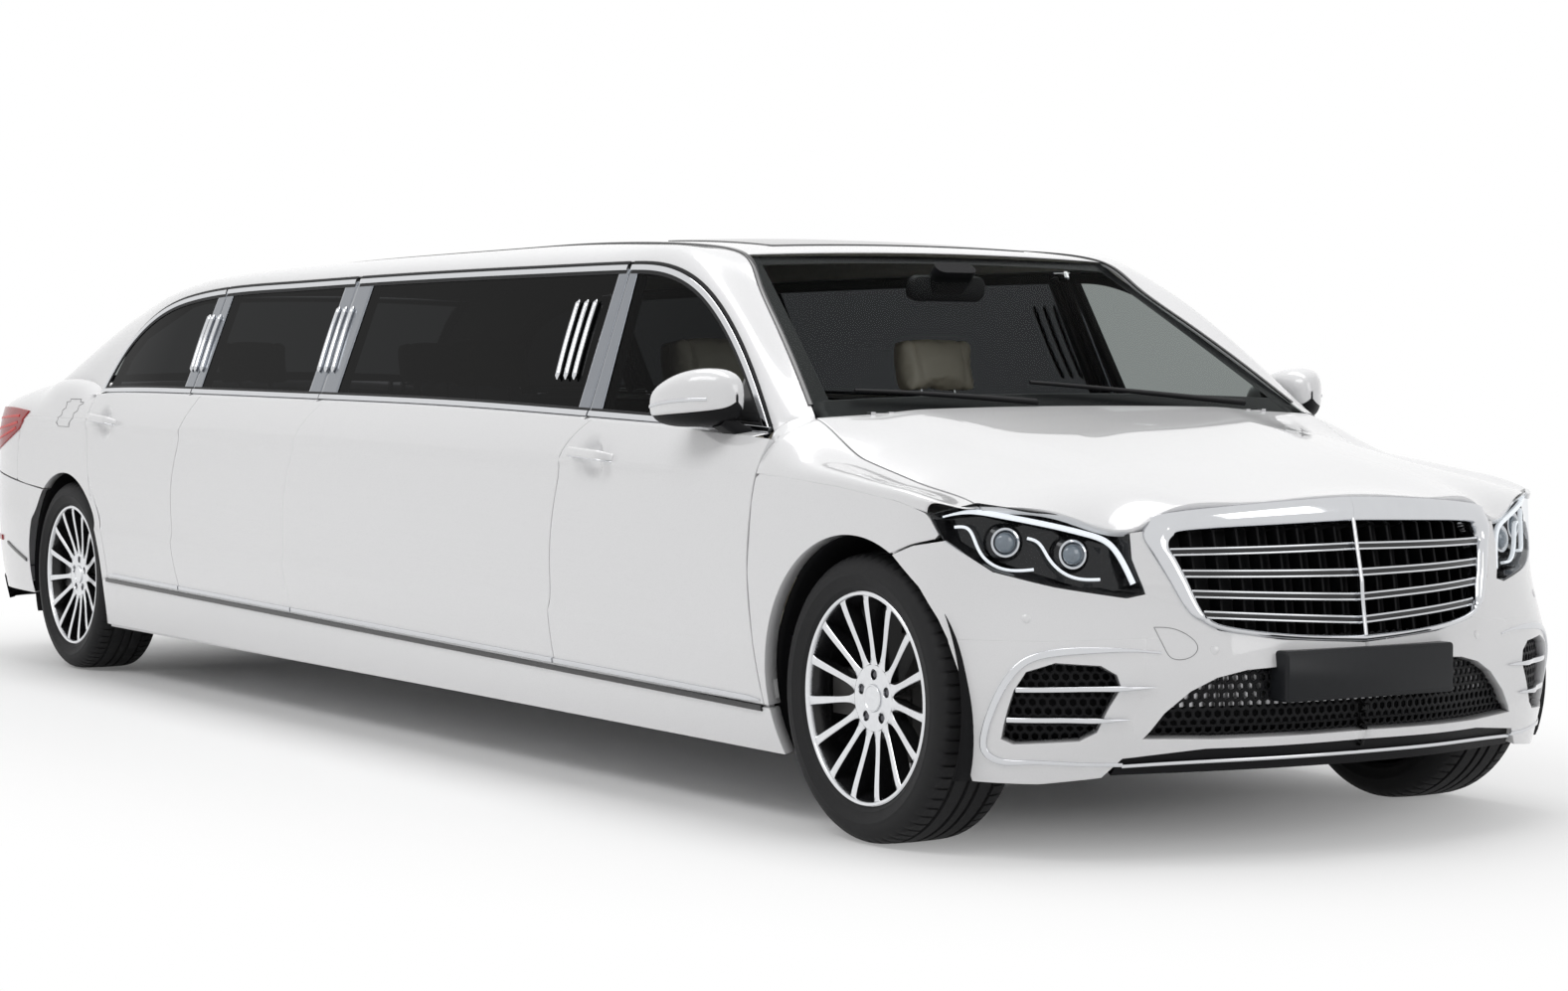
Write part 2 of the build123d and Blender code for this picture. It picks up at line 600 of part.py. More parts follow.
GRILLE_BARS = (548, 604, 660, 716)
GRILLE_INNER = ((440, 752), (452, 722), (380, 575), (322, 540))
bar_shell = (tub(2) - tub(26)) & grille_cut
grille = ((tub(-6) - tub(30)) & grille_cut) - front_view(GRILLE_INNER, F + 300, F + 950)
for z in GRILLE_BARS:
    grille = grille + (bar_shell & box(F + 300, F + 950, -500, 500, z - 9, z + 9))
grille = grille + (bar_shell & box(F + 300, F + 950, -8, 8, 500, 792))
grille = grille - hood_gap - bumper - mirrored(bumper)
grille_mesh = ((tub(30 + SEAT_GAP) - tub(40)) & grille_cut) - hood_gap - bumper - mirrored(bumper)
mesh_shell = tub(14) - tub(34)
write("grille", biggest(grille))
centre_mesh = mesh_shell & front_view([(y - SEAT_GAP, z) for y, z in INTAKE], *NOSE_CUT)
side_mesh = (mesh_shell & side_cut) - bumper
write("intake_grilles", biggest(grille_mesh), biggest(centre_mesh - bumper - mirrored(bumper)), both(biggest(side_mesh)))
plate = box(F + 640, F + FRONT_OVERHANG + PLATE_PROUD, -PLATE[0] / 2, PLATE[0] / 2, PLATE_Z, PLATE_Z + PLATE[1])
plate = (plate - bumper - mirrored(bumper) - centre_mesh) - tub(BUMPER_WALL - 2)
plate = biggest(plate)
write("plate_carrier", plate)

headlamp = ((outer - tub(90)) & headlamp_cut) - hood_gap - fender - bumper
headlamp = biggest(headlamp)
write("headlamps", both(headlamp))

# Tail

boot = (outer - lid_inner) & boot_cut
taillamp_gap = lamp_prism(TAIL_INNER, TAIL_RUN, TAILLAMP, SHUT_GAP)
boot = boot - taillamp_gap - mirrored(taillamp_gap)
rear_bumper = (outer - lid_inner) & box(-LENGTH, R - 300, -WIDE, WIDE, 0, BUMPER_TOP_Z)
rear_bumper = rear_bumper - rear_arch - mirrored(rear_arch) - floor
rear_bumper = rear_bumper - box(-LENGTH, LENGTH, -560, 560, 0, SILL_TRIM_Z + 5)
rear_bumper = biggest(rear_bumper)
tail_panel = (outer - lid_inner) & box(-LENGTH, R - 900, -560, 560, BUMPER_TOP_Z, BOOT_LOW_Z - SHUT_GAP)
rear_bumper = rear_bumper + tail_panel
for side in (body_side, mirrored(body_side)):
    rear_bumper = rear_bumper - side
write("rear_bumper", biggest(rear_bumper))
taillamp = ((outer - tub(60)) & taillamp_cut) - boot_gap - body_side - rear_bumper
taillamp = biggest(taillamp)
write("tail_lamps", both(taillamp))


def lid_lug(axis, way, edge_x):
    """Left hinge arm of a lid, from under the lid to an eye on the axis."""
    x, z = axis
    y0, y1 = LID_HINGE_Y - 12, LID_HINGE_Y + 12
    eye = rod(x, y0, z, LID_PIN_R + 6, y1 - y0, (0, 1, 0))
    near = box(min(x, edge_x), max(x, edge_x), y0, y1, z - 60, z)
    tip = edge_x + way * 80
    far = box(min(edge_x, tip), max(edge_x, tip), y0, y1, z - 60, z) & tub(2)
    bore = rod(x, y0 - 1, z, LID_PIN_R + RUN_GAP, y1 - y0 + 2, (0, 1, 0))
    return eye + near + far - bore


def lid_bracket(axis, low_z, foot_x):
    """Left post of a lid hinge with its pin, on a foot that reaches to the bulkhead."""
    x, z = axis
    y0, y1 = LID_HINGE_Y - 34, LID_HINGE_Y + 34
    pin = rod(x, y0, z, LID_PIN_R, y1 - y0, (0, 1, 0))
    posts = box(x - 9, x + 9, y0, y0 + 14, low_z, z + 9) + box(x - 9, x + 9, y1 - 14, y1, low_z, z + 9)
    foot = box(min(x - 9, foot_x), max(x + 9, foot_x), y0, y1, low_z, low_z + 14)
    return pin + posts + foot


hood_lug = lid_lug(HOOD_AXIS, 1, HOOD_PLAN[0][0])
boot_lug = lid_lug(BOOT_AXIS, -1, BOOT_PLAN[0][0])
hood = hood + hood_lug + mirrored(hood_lug)
boot = boot + boot_lug + mirrored(boot_lug)
write("hood", biggest(hood))
write("boot_lid", biggest(boot))
hood_bracket = lid_bracket(HOOD_AXIS, COWL_Z + SEAT_GAP, FIREWALL_X)
boot_bracket = lid_bracket(BOOT_AXIS, SHELF_Z + SEAT_GAP, BOOT_AXIS[0] + 60)
write("lid_hinges", both(hood_bracket), both(boot_bracket))
COWL = (F - 480, FIREWALL_X, -570, 570)
write("cowl", box(*COWL, COWL_Z + SEAT_GAP, COWL_Z + 14))

# Glass


def glass_of(points, depth):
    """Left side glass that fills a window, set in from the outside of its frame."""
    return (cabin(depth) - cabin(depth + GLASS_WALL)) & pane(points, SEAT_GAP)


side_glass = {name: glass_of(points, GLASS_DEPTH) for name, points in panes.items()}
write("front_door_glass_left", side_glass["front"])
write("front_door_glass_right", mirrored(side_glass["front"]))
write("rear_door_glass_left", side_glass["rear"])
write("rear_door_glass_right", mirrored(side_glass["rear"]))
write("side_glass", both(side_glass["long"]), both(side_glass["short"]))
screen_glass = cabin(3) - cabin(3 + GLASS_WALL)
screen_edge = [(y - SEAT_GAP, z + sign * SEAT_GAP) for (y, z), sign in zip(SCREEN, (1, -1))]
backlight_edge = [(y - SEAT_GAP, z + sign * SEAT_GAP) for (y, z), sign in zip(BACKLIGHT, (1, -1))]
write("windscreen", screen_glass & front_view(screen_edge, F - 1300, F - 250))
write("rear_window", screen_glass & front_view(backlight_edge, R - 600, R + 520))

# Door mirrors

MIRROR = (F - 690, F - 545, 940, 1062, 985, 1118)
mirror_head = box(*MIRROR)
mirror_head = fillet(mirror_head.edges(), 34)
mirror_arm = box(F - 640, F - 570, 860, 960, 968, 1004) - front_door - side_glass["front"] - cabin_outer
mirror_left = mirror_head + max(mirror_arm.solids(), key=lambda s: s.center().Y)
write("mirror_left", mirror_left)
write("mirror_right", mirrored(mirror_left))

# Wheels: everything is made round the Y axis with its outer face towards +Y, then set in place


def set_wheel(shape, x):
    return shape.moved(Location((x, TRACK_HALF, AXLE_Z)))


def turned(points):
    """Ring turned round the Y axis from (radius, y) points."""
    face = polygon([(r, y, 0) for r, y in points])
    return revolve(face, Axis.Y)


HALF_W = RIM_W / 2
rim = turned(
    (
        (RIM_R - 18, -HALF_W),
        (RIM_R + 12, -HALF_W),
        (RIM_R + 12, -HALF_W + 9),
        (RIM_R, -HALF_W + 14),
        (RIM_R, HALF_W - 14),
        (RIM_R + 12, HALF_W - 9),
        (RIM_R + 12, HALF_W),
        (RIM_R - 18, HALF_W),
    )
)
HUB_R = 80
HUB_BACK = -8
HUB_FACE = 82
DISC_WALL = 30
SPOKE_BACK = 66
SPOKE_FACE = 98
SPOKE_W = 22
hub = rod(0, HUB_BACK, 0, HUB_R, HUB_FACE - HUB_BACK, (0, 1, 0)) + rod(0, HUB_BACK, 0, DISC_R, DISC_WALL, (0, 1, 0))
hub = hub - rod(0, HUB_BACK - 1, 0, STUB_R + RUN_GAP, 70, (0, 1, 0))
spokes = []
for i in range(SPOKES):
    spoke = box(HUB_R - 25, RIM_R - 10, SPOKE_BACK, SPOKE_FACE, -SPOKE_W / 2, SPOKE_W / 2)
    spokes.append(spoke.rotate(Axis.Y, 360 * i / SPOKES))
wheel = rim.fuse(hub, *spokes)
BEAD_R = RIM_R + SEAT_GAP
FLANK_W = TYRE_W / 2
tyre_face = face_of(
    line((BEAD_R, -HALF_W + 15, 0), (BEAD_R, HALF_W - 15, 0)),
    line((BEAD_R, HALF_W - 15, 0), (RIM_R + 14, HALF_W - 8, 0)),
    arc((RIM_R + 14, HALF_W - 8, 0), (0.55 * RIM_R + 0.45 * TYRE_R, FLANK_W, 0), (TYRE_R - 16, FLANK_W - 12, 0)),
    arc((TYRE_R - 16, FLANK_W - 12, 0), (TYRE_R - 4.3, FLANK_W - 26, 0), (TYRE_R, FLANK_W - 44, 0)),
    line((TYRE_R, FLANK_W - 44, 0), (TYRE_R, -FLANK_W + 44, 0)),
    arc((TYRE_R, -FLANK_W + 44, 0), (TYRE_R - 4.3, -FLANK_W + 26, 0), (TYRE_R - 16, -FLANK_W + 12, 0)),
    arc((TYRE_R - 16, -FLANK_W + 12, 0), (0.55 * RIM_R + 0.45 * TYRE_R, -FLANK_W, 0), (RIM_R + 14, -HALF_W + 8, 0)),
    line((RIM_R + 14, -HALF_W + 8, 0), (BEAD_R, -HALF_W + 15, 0)),
)
tyre = revolve(tyre_face, Axis.Y)
tyre = tyre - wheel
tyre = biggest(tyre)
for where, x in (("front", F), ("rear", R)):
    write(f"wheel_{where}_left", set_wheel(wheel, x))
    write(f"wheel_{where}_right", mirrored(set_wheel(wheel, x)))
    write(f"tyre_{where}_left", set_wheel(tyre, x))
    write(f"tyre_{where}_right", mirrored(set_wheel(tyre, x)))

# Front suspension: a subframe with rails and arms, and an upright that steers with each wheel

UPRIGHT_Y = STEER_Y - 18
UPRIGHT_LOW = AXLE_Z - 140
UPRIGHT_HIGH = AXLE_Z + 150
BALL_R = 10
ARM_LOW_Z = AXLE_Z - 180
ARM_HIGH_Z = AXLE_Z + 170
ARM_WALL = 20
ARM_EYE_R = 17
CALIPER = (-218, -120, -45, 50, -55, 55)
stub = rod(0, -50, 0, STUB_R, 110, (0, 1, 0))
caliper = box(*CALIPER) - rod(0, -14, 0, DISC_R + 6, 44, (0, 1, 0)) + box(-140, -20, -45, -14, -40, 40)
upright = box(-30, 30, -50, -14, UPRIGHT_LOW - AXLE_Z, UPRIGHT_HIGH - AXLE_Z) + stub + caliper
balls = rod(F, STEER_Y, ARM_LOW_Z - 8, BALL_R, UPRIGHT_LOW - ARM_LOW_Z + 10, (0, 0, 1))
balls = balls + rod(F, STEER_Y, UPRIGHT_HIGH - 2, BALL_R, ARM_HIGH_Z + 30 - UPRIGHT_HIGH, (0, 0, 1))
knuckle = set_wheel(upright, F) + balls
write("knuckle_left", knuckle)
write("knuckle_right", mirrored(knuckle))

RAIL_Y = (400, 455)
RAIL_Z = (360, 440)
BEAM_LOW_Z = 178
BEAM_HIGH_Z = 240
subframe = box(F - 60, F + 60, 0, RAIL_Y[1], BEAM_LOW_Z, BEAM_HIGH_Z)
subframe = subframe + box(FIREWALL_X + SEAT_GAP, F + 575, *RAIL_Y, *RAIL_Z)
subframe = subframe + box(F - 40, F + 40, RAIL_Y[0], RAIL_Y[0] + 40, BEAM_LOW_Z, ARM_HIGH_Z + ARM_WALL)
for z in (ARM_LOW_Z, ARM_HIGH_Z):
    arm = box(F - ARM_EYE_R, F + ARM_EYE_R, RAIL_Y[0], STEER_Y, z, z + ARM_WALL) + rod(F, STEER_Y, z, ARM_EYE_R, ARM_WALL, (0, 0, 1))
    subframe = subframe + (arm - rod(F, STEER_Y, z - 1, BALL_R + RUN_GAP, ARM_WALL + 2, (0, 0, 1)))
crash_beam = tub(BUMPER_WALL + SEAT_GAP) & box(F + 560, NOSE_CUT[1], 0, 520, *RAIL_Z)
subframe = subframe + crash_beam
write("front_subframe", subframe + mirrored(subframe))

ENGINE = (F - 250, F + 400, -300, 300, BEAM_HIGH_Z + SEAT_GAP, 760)
engine = box(*ENGINE)
engine = chamfer(engine.edges().filter_by(Axis.X), 60)
write("engine", engine)

# Rear axle: final drive, half shafts, crossbeam and fixed uprights in one piece

rear_axle = box(R - 60, R + 60, 0, 470, 300, 370) + rod(R, 0, AXLE_Z, 98, 130, (0, 1, 0))
rear_axle = rear_axle + rod(R, 100, AXLE_Z, 24, TRACK_HALF - 140, (0, 1, 0))
rear_axle = rear_axle + box(R - 30, R + 30, 440, TRACK_HALF - 40, 310, 350) + set_wheel(stub, R)
rear_axle = rear_axle + set_wheel(box(-45, 45, -50, -14, -75, 75) + caliper, R)
rear_axle = rear_axle + box(R - 40, R + 40, 380, 460, 340, AXLE_ROOF_Z - 15 - SEAT_GAP)
write("rear_axle", rear_axle + mirrored(rear_axle))

# Wheel house liners

liners = []
for x in (F, R):
    ring = arch(x, LINER_R + LINER_WALL, 500) - arch(x, LINER_R, 499)
    ring = ring & box(x - 500, x + 500, 499, LINER_EDGE_Y, AXLE_Z - 60, TALL)
    for other in (sill, body_side, floor):
        ring = ring - other
    liners.append(biggest(ring))
write("wheel_liners", *[both(s) for s in liners])

# Cabin: dashboard, steering wheel and seats

DASH = (
    (FIREWALL_X - FIREWALL_WALL - SEAT_GAP, 640),
    (FIREWALL_X - FIREWALL_WALL - SEAT_GAP, 840),
    (F - 440, 872),
    (F - 700, 888),
    (F - 760, 840),
    (F - 700, 700),
    (F - 560, 600),
)
dash = prism(polygon([(x, -770, z) for x, z in DASH]), (0, 1540, 0))
console = box(F - 1150, F - 640, -110, 110, FLOOR_Z + SEAT_GAP, 640)

WHEEL_AT = (F - 900, 370, 860)
WHEEL_TILT = 24
COLUMN = 260
grip = Solid.make_torus(180, 15, Plane.XY) + rod(0, 0, -30, 60, 42, (0, 0, 1))
grip = grip + box(-180, 180, -18, 18, -12, 10) + box(-18, 18, -180, 0, -12, 10)
grip = grip + rod(0, 0, -COLUMN - 10, 22, COLUMN, (0, 0, 1))
tilt = Plane(WHEEL_AT, x_dir=(0, -1, 0), z_dir=(-1, 0, tan(radians(WHEEL_TILT))))
steering_wheel = grip.moved(Location(tilt))
write("steering_wheel", steering_wheel)
column_bore = rod(0, 0, -COLUMN - 40, 22 + RUN_GAP, COLUMN, (0, 0, 1)).moved(Location(tilt))
write("dashboard", dash + console - column_bore)

SEAT_W = 510
SEAT_LONG = 500
SEAT_BASE = 60  # height of the frame under the cushion
SEAT_SIDE = ((0, 0), (0, 160), (480, 190), (SEAT_LONG, 130), (480, 0))
BACK_W = SEAT_W - 30
BACK_TOP = 730
BACK_SIDE = ((120, 150), (-30, BACK_TOP), (-110, BACK_TOP), (-40, 150))
HEAD_W = 270
HEAD_LOW = BACK_TOP + 50
HEAD_SIDE = ((-40, HEAD_LOW), (-70, HEAD_LOW + 160), (-150, HEAD_LOW + 150), (-120, HEAD_LOW))
POST_X = (-80, -55)
POST_HALF_W = 60
POST_BITE = 10  # how far the posts reach into the back and the head restraint
FRAME_IN = 70  # the frame stands in from the cushion's ends
FRAME_HALF_W = 190


def seat(front_x, y, width):
    """Cushion, backrest and head restraint of one seat whose cushion ends at front_x."""
    pieces = []
    hip_x = front_x - SEAT_LONG
    base_z = FLOOR_Z + SEAT_BASE
    for points, wide in ((SEAT_SIDE, width), (BACK_SIDE, BACK_W), (HEAD_SIDE, HEAD_W)):
        ring = [(hip_x + px, y - wide / 2, base_z + pz) for px, pz in points]
        pieces.append(prism(polygon(ring), (0, wide, 0)))
    post_z = (base_z + BACK_TOP - POST_BITE, base_z + HEAD_LOW + POST_BITE)
    post = box(hip_x + POST_X[0], hip_x + POST_X[1], y - POST_HALF_W, y + POST_HALF_W, *post_z)
    foot_y = (y - FRAME_HALF_W, y + FRAME_HALF_W)
    foot = box(hip_x + FRAME_IN, front_x - FRAME_IN, *foot_y, FLOOR_Z + SEAT_GAP, base_z + 1)
    return joined(*pieces, post, foot)


SEAT_ROWS = (("front_seats", F - 980, 385), ("middle_seats", F - 2350, 385), ("rear_seats", R + 1000, 365))
for name, front_x, y in SEAT_ROWS:
    write(name, both(seat(front_x, y, SEAT_W)))
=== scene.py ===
import bmesh
import bpy
import numpy as np
from mathutils import Matrix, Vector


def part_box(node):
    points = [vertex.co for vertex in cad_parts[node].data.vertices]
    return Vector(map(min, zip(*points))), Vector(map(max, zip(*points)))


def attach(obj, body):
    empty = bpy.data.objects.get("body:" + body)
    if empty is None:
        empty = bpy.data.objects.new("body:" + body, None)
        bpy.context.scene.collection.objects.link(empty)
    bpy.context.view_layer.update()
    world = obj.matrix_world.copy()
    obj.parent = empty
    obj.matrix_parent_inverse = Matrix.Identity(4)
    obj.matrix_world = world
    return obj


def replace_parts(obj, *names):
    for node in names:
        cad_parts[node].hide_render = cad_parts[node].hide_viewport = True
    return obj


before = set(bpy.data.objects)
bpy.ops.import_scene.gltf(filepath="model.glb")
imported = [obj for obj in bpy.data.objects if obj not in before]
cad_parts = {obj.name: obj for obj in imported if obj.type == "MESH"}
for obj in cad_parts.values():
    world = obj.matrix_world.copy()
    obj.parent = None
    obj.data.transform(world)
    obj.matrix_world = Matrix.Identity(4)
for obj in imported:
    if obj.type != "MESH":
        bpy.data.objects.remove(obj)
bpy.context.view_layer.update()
scene = bpy.context.scene
scene.view_settings.view_transform = "Standard"

# Camera: a long lens at head height, ahead of the car and to its right.
# Places along the car are counted from the front axle, forward is plus.
low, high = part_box("tyre_front_left")
F = (low.x + high.x) / 2
HUB_Z = (low.z + high.z) / 2
low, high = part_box("tyre_rear_left")
R = (low.x + high.x) / 2
WB = F - R  # wheelbase
CAMERA_AT = (F + 6.579, -5.310, 1.155)
CAMERA_YAW, CAMERA_PITCH, CAMERA_ROLL = 2.577, -0.041, 0.002
CAMERA_LENS = 76.76


def standing(at, across, up, back):
    """World matrix of a thing at a place, from its own three axes."""
    return Matrix.Translation(at) @ Matrix(np.column_stack([across, up, back]).tolist()).to_4x4()


level = np.cos(CAMERA_PITCH)
ahead = np.array([level * np.cos(CAMERA_YAW), level * np.sin(CAMERA_YAW), np.sin(CAMERA_PITCH)])
right = np.cross(ahead, (0, 0, 1))
right /= np.linalg.norm(right)
above = np.cross(right, ahead)
turned_right = np.cos(CAMERA_ROLL) * right + np.sin(CAMERA_ROLL) * above
turned_above = np.cross(turned_right, ahead)
camera_data = bpy.data.cameras.new("camera")
camera_data.sensor_fit = "HORIZONTAL"
camera_data.sensor_width = 36
camera_data.lens = CAMERA_LENS
camera = bpy.data.objects.new("camera", camera_data)
scene.collection.objects.link(camera)
camera.matrix_world = standing(CAMERA_AT, turned_right, turned_above, -ahead)
scene.camera = camera

# Body panels: pressed steel skins in gloss white enamel under clear lacquer, hemmed at their edges.
# Each one is a patch of the same flowing flank, with a narrow shut gap to its neighbour.


def finish(
    name, colour, rough, metal=0.0, coat=0.0, grain=40.0, vary=0.03, bump=0.0, bump_grain=None, shine=0.5,
):
    """Finish whose colour and roughness drift with soft noise on object coordinates, and a fine bump."""
    material = bpy.data.materials.new(name)
    material.use_nodes = True
    nodes, links = material.node_tree.nodes, material.node_tree.links
    shader = nodes["Principled BSDF"]
    coords = nodes.new("ShaderNodeTexCoord")
    noise = nodes.new("ShaderNodeTexNoise")
    noise.inputs["Scale"].default_value = grain
    noise.inputs["Detail"].default_value = 3
    links.new(coords.outputs["Object"], noise.inputs["Vector"])
    ramp = nodes.new("ShaderNodeValToRGB")
    for stop, share in zip(ramp.color_ramp.elements, (1 - vary, 1 + vary)):
        stop.color = (*[min(c * share, 1) for c in colour], 1)
    links.new(noise.outputs["Fac"], ramp.inputs["Fac"])
    links.new(ramp.outputs["Color"], shader.inputs["Base Color"])
    spread = nodes.new("ShaderNodeMapRange")
    spread.inputs["To Min"].default_value = rough * 0.85
    spread.inputs["To Max"].default_value = min(rough * 1.15, 1)
    links.new(noise.outputs["Fac"], spread.inputs["Value"])
    links.new(spread.outputs["Result"], shader.inputs["Roughness"])
    shader.inputs["Metallic"].default_value = metal
    shader.inputs["Coat Weight"].default_value = coat
    shader.inputs["Coat Roughness"].default_value = 0.02
    shader.inputs["Specular IOR Level"].default_value = shine
    if bump:
        fine = nodes.new("ShaderNodeTexNoise")
        fine.inputs["Scale"].default_value = bump_grain or 6 * grain
        links.new(coords.outputs["Object"], fine.inputs["Vector"])
        relief = nodes.new("ShaderNodeBump")
        relief.inputs["Strength"].default_value = bump
        relief.inputs["Distance"].default_value = 0.001
        links.new(fine.outputs["Fac"], relief.inputs["Height"])
        links.new(relief.outputs["Normal"], shader.inputs["Normal"])
    return material


def curve(knots, values, at):
    """Natural cubic spline through values at rising knots, read at any places."""
    knots, values = np.asarray(knots, float), np.asarray(values, float)
    flat = values.reshape(len(knots), -1)
    gap = np.diff(knots)
    rise = np.diff(flat, axis=0) / gap[:, None]
    bend = np.zeros_like(flat)
    if len(knots) > 2:
        system = np.diag(2 * (gap[:-1] + gap[1:])) + np.diag(gap[1:-1], 1) + np.diag(gap[1:-1], -1)
        bend[1:-1] = np.linalg.solve(system, 6 * np.diff(rise, axis=0))
    at = np.clip(np.asarray(at, float), knots[0], knots[-1])
    k = np.clip(np.searchsorted(knots, at, side="right") - 1, 0, len(knots) - 2)
    d, g = (at - knots[k])[..., None], gap[k][..., None]
    line = flat[k] + d * (rise[k] - g * (2 * bend[k] + bend[k + 1]) / 6)
    line = line + d**2 * bend[k] / 2 + d**3 * (bend[k + 1] - bend[k]) / (6 * g)
    return line.reshape(at.shape + values.shape[1:])


def through(points, shares):
    """Smooth line through points, read at shares of its chord length."""
    points = np.asarray(points, float)
    run = np.r_[0, np.cumsum(np.linalg.norm(np.diff(points, axis=0), axis=1))]
    return curve(run / run[-1], points, shares)


def straight(points, shares):
    """Broken straight line through points, read at shares of its length."""
    points = np.asarray(points, float)
    run = np.r_[0, np.cumsum(np.linalg.norm(np.diff(points, axis=0), axis=1))]
    return np.stack([np.interp(shares, run / run[-1], column) for column in points.T], -1)


def spread(count, pinch=0.004):
    """Even shares from 0 to 1, with a close pair at each end that keeps a panel's edge crisp."""
    return np.r_[0, np.linspace(pinch, 1 - pinch, count - 2), 1]


def ease(value, start, end):
    """Smooth step from 0 at start to 1 at end."""
    t = np.clip((np.asarray(value, float) - start) / (end - start), 0, 1)
    return t * t * (3 - 2 * t)


def patch(bottom, top, front, back, along, up):
    """Surface patch between four border lines: the two pairs are blended and the corners taken off once."""
    u, v = along[None, :, None], up[:, None, None]
    corners = (1 - v) * ((1 - u) * bottom[0] + u * bottom[-1]) + v * ((1 - u) * top[0] + u * top[-1])
    return (1 - v) * bottom[None] + v * top[None] + (1 - u) * front[:, None] + u * back[:, None] - corners


def unit(vectors):
    return vectors / np.maximum(np.linalg.norm(vectors, axis=-1, keepdims=True), 1e-12)


def hem(grid, sides, radius, depth):
    """Strips that roll a grid's borders over: a quarter round outwards, then a flange square to the skin."""
    normal = unit(np.cross(np.gradient(grid, axis=1), np.gradient(grid, axis=0)))
    rims = {
        "b": (grid[0], normal[0], grid[1] - grid[0]),
        "t": (grid[-1], normal[-1], grid[-2] - grid[-1]),
        "f": (grid[:, 0], normal[:, 0], grid[:, 1] - grid[:, 0]),
        "e": (grid[:, -1], normal[:, -1], grid[:, -2] - grid[:, -1]),
    }
    turn = np.array([0, 0.5, 0.85, 1.0])[:, None, None] * np.pi / 2
    strips = []
    for side in sides:
        rim, up, inward = rims[side]
        out = unit(np.cross(unit(np.gradient(rim, axis=0)), up))
        out = -out * np.sign(np.sum(out * inward, -1, keepdims=True))
        strip = rim + radius * (np.sin(turn) * out - (1 - np.cos(turn)) * up)
        strip = np.concatenate([strip, (rim + radius * out - depth * up)[None]])
        strip = strip[::-1] if side in "bf" else strip
        strips.append(strip if side in "bt" else strip.transpose(1, 0, 2))
    return strips


CREASE = np.radians(42)  # edges bent more than this stay sharp


def raise_mesh(name, points, faces, material, body, slot, wall=0.0, solid=False):
    """Mesh object from points and faces: doubles merged, then a wall of that thickness inwards."""
    mesh = bpy.data.meshes.new(name)
    mesh.from_pydata(points.tolist(), [], faces.tolist() if isinstance(faces, np.ndarray) else faces)
    work = bmesh.new()
    work.from_mesh(mesh)
    bmesh.ops.remove_doubles(work, verts=work.verts, dist=2e-6)
    if solid:
        bmesh.ops.recalc_face_normals(work, faces=work.faces)
    work.to_mesh(mesh)
    work.free()
    mesh.validate()
    mesh.polygons.foreach_set("use_smooth", np.ones(len(mesh.polygons), bool))
    mesh.set_sharp_from_angle(angle=CREASE)
    mesh.materials.append(material)
    piece = bpy.data.objects.new(name, mesh)
    scene.collection.objects.link(piece)
    if wall:
        shell = piece.modifiers.new("wall", "SOLIDIFY")
        shell.thickness = wall
        shell.offset = -1
    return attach(piece, body)


def cells(rows, cols, wrap_rows=False, wrap_cols=False):
    """Corner numbers of the quads between the points of a grid, wrapped round where it closes."""
    i = np.arange(rows if wrap_rows else rows - 1)[:, None]
    j = np.arange(cols if wrap_cols else cols - 1)[None, :]
    i2, j2 = (i + 1) % rows, (j + 1) % cols
    return np.stack([i * cols + j, i * cols + j2, i2 * cols + j2, i2 * cols + j], -1).reshape(-1, 4)


def sheets(grids):
    """Points and quads of several grids together."""
    points, faces, start = [], [], 0
    for grid in grids:
        points.append(grid.reshape(-1, 3))
        faces.append(cells(*grid.shape[:2]) + start)
        start += points[-1].shape[0]
    return np.concatenate(points), np.concatenate(faces)


def panel(name, grid, material, body, slot, wall=0.0012, edge="btfe", radius=0.0015, depth=0.014):
    """Skin panel from a grid whose normals face out, with the borders named in edge hemmed."""
    points, faces = sheets([grid] + hem(grid, edge, radius, depth))
    return raise_mesh(name, points, faces, material, body, slot, wall)


OTHER_SIDE = np.array([1, -1, 1])


def twin(grid):
    """The same grid on the car's right, with its order turned so that it still faces out."""
    return grid[:, ::-1] * OTHER_SIDE


def pair(name, grid, material, body, slot, **how):
    """A left panel and its right twin; a side in the body's name is filled in."""
    made = []
    for side, shape in (("left", grid), ("right", twin(grid))):
        made.append(panel(f"{name}_{side}", shape, material, body.format(side), slot, **how))
    return made


SKIN_OUT = 0.010  # the skin lies over the solid body
SIDE_Z = (0.165, 0.30, 0.45, 0.62, 0.78, 0.885, 0.95, 1.04)
SIDE_Y = (0.902, 0.931, 0.948, 0.954, 0.952, 0.945, 0.929, 0.896)
WAIST = 0.954
HANDLES = ((1.262, 0.888), (4.876, 0.920))
SCOOP_R = 0.046
# Plan of the body at places q, the distance back from the front axle round the outline:
# (x, y) low down, and at lamp height, where the nose is slimmer
NOSE_Q, TAIL_Q = -1.40, 7.13  # the car's middle, in front and behind
PLAN_Q = np.array([
    NOSE_Q, -1.13, -0.856, -0.655, -0.46, -0.30, -0.15, 0.10, 0.60, 1.6, 3.6, 4.7, 5.1, 5.59, 5.98, 6.20,
    6.333, 6.57, 6.85, TAIL_Q,
])
PLAN_LOW = np.array([
    (0.740, 0), (0.722, 0.267), (0.645, 0.53), (0.570, 0.715), (0.445, 0.865), (0.300, 0.930),
    (0.150, 0.949), (-0.10, 0.954), (-0.60, 0.954), (-1.6, 0.954), (-3.6, 0.954), (-4.7, 0.954),
    (-5.1, 0.954), (-WB - 0.30, 0.950), (-WB - 0.68, 0.930), (-WB - 0.89, 0.870), (-WB - 0.99, 0.785),
    (-WB - 1.085, 0.56), (-WB - 1.118, 0.28), (-WB - 1.126, 0),
])
PLAN_HIGH = PLAN_LOW.copy()
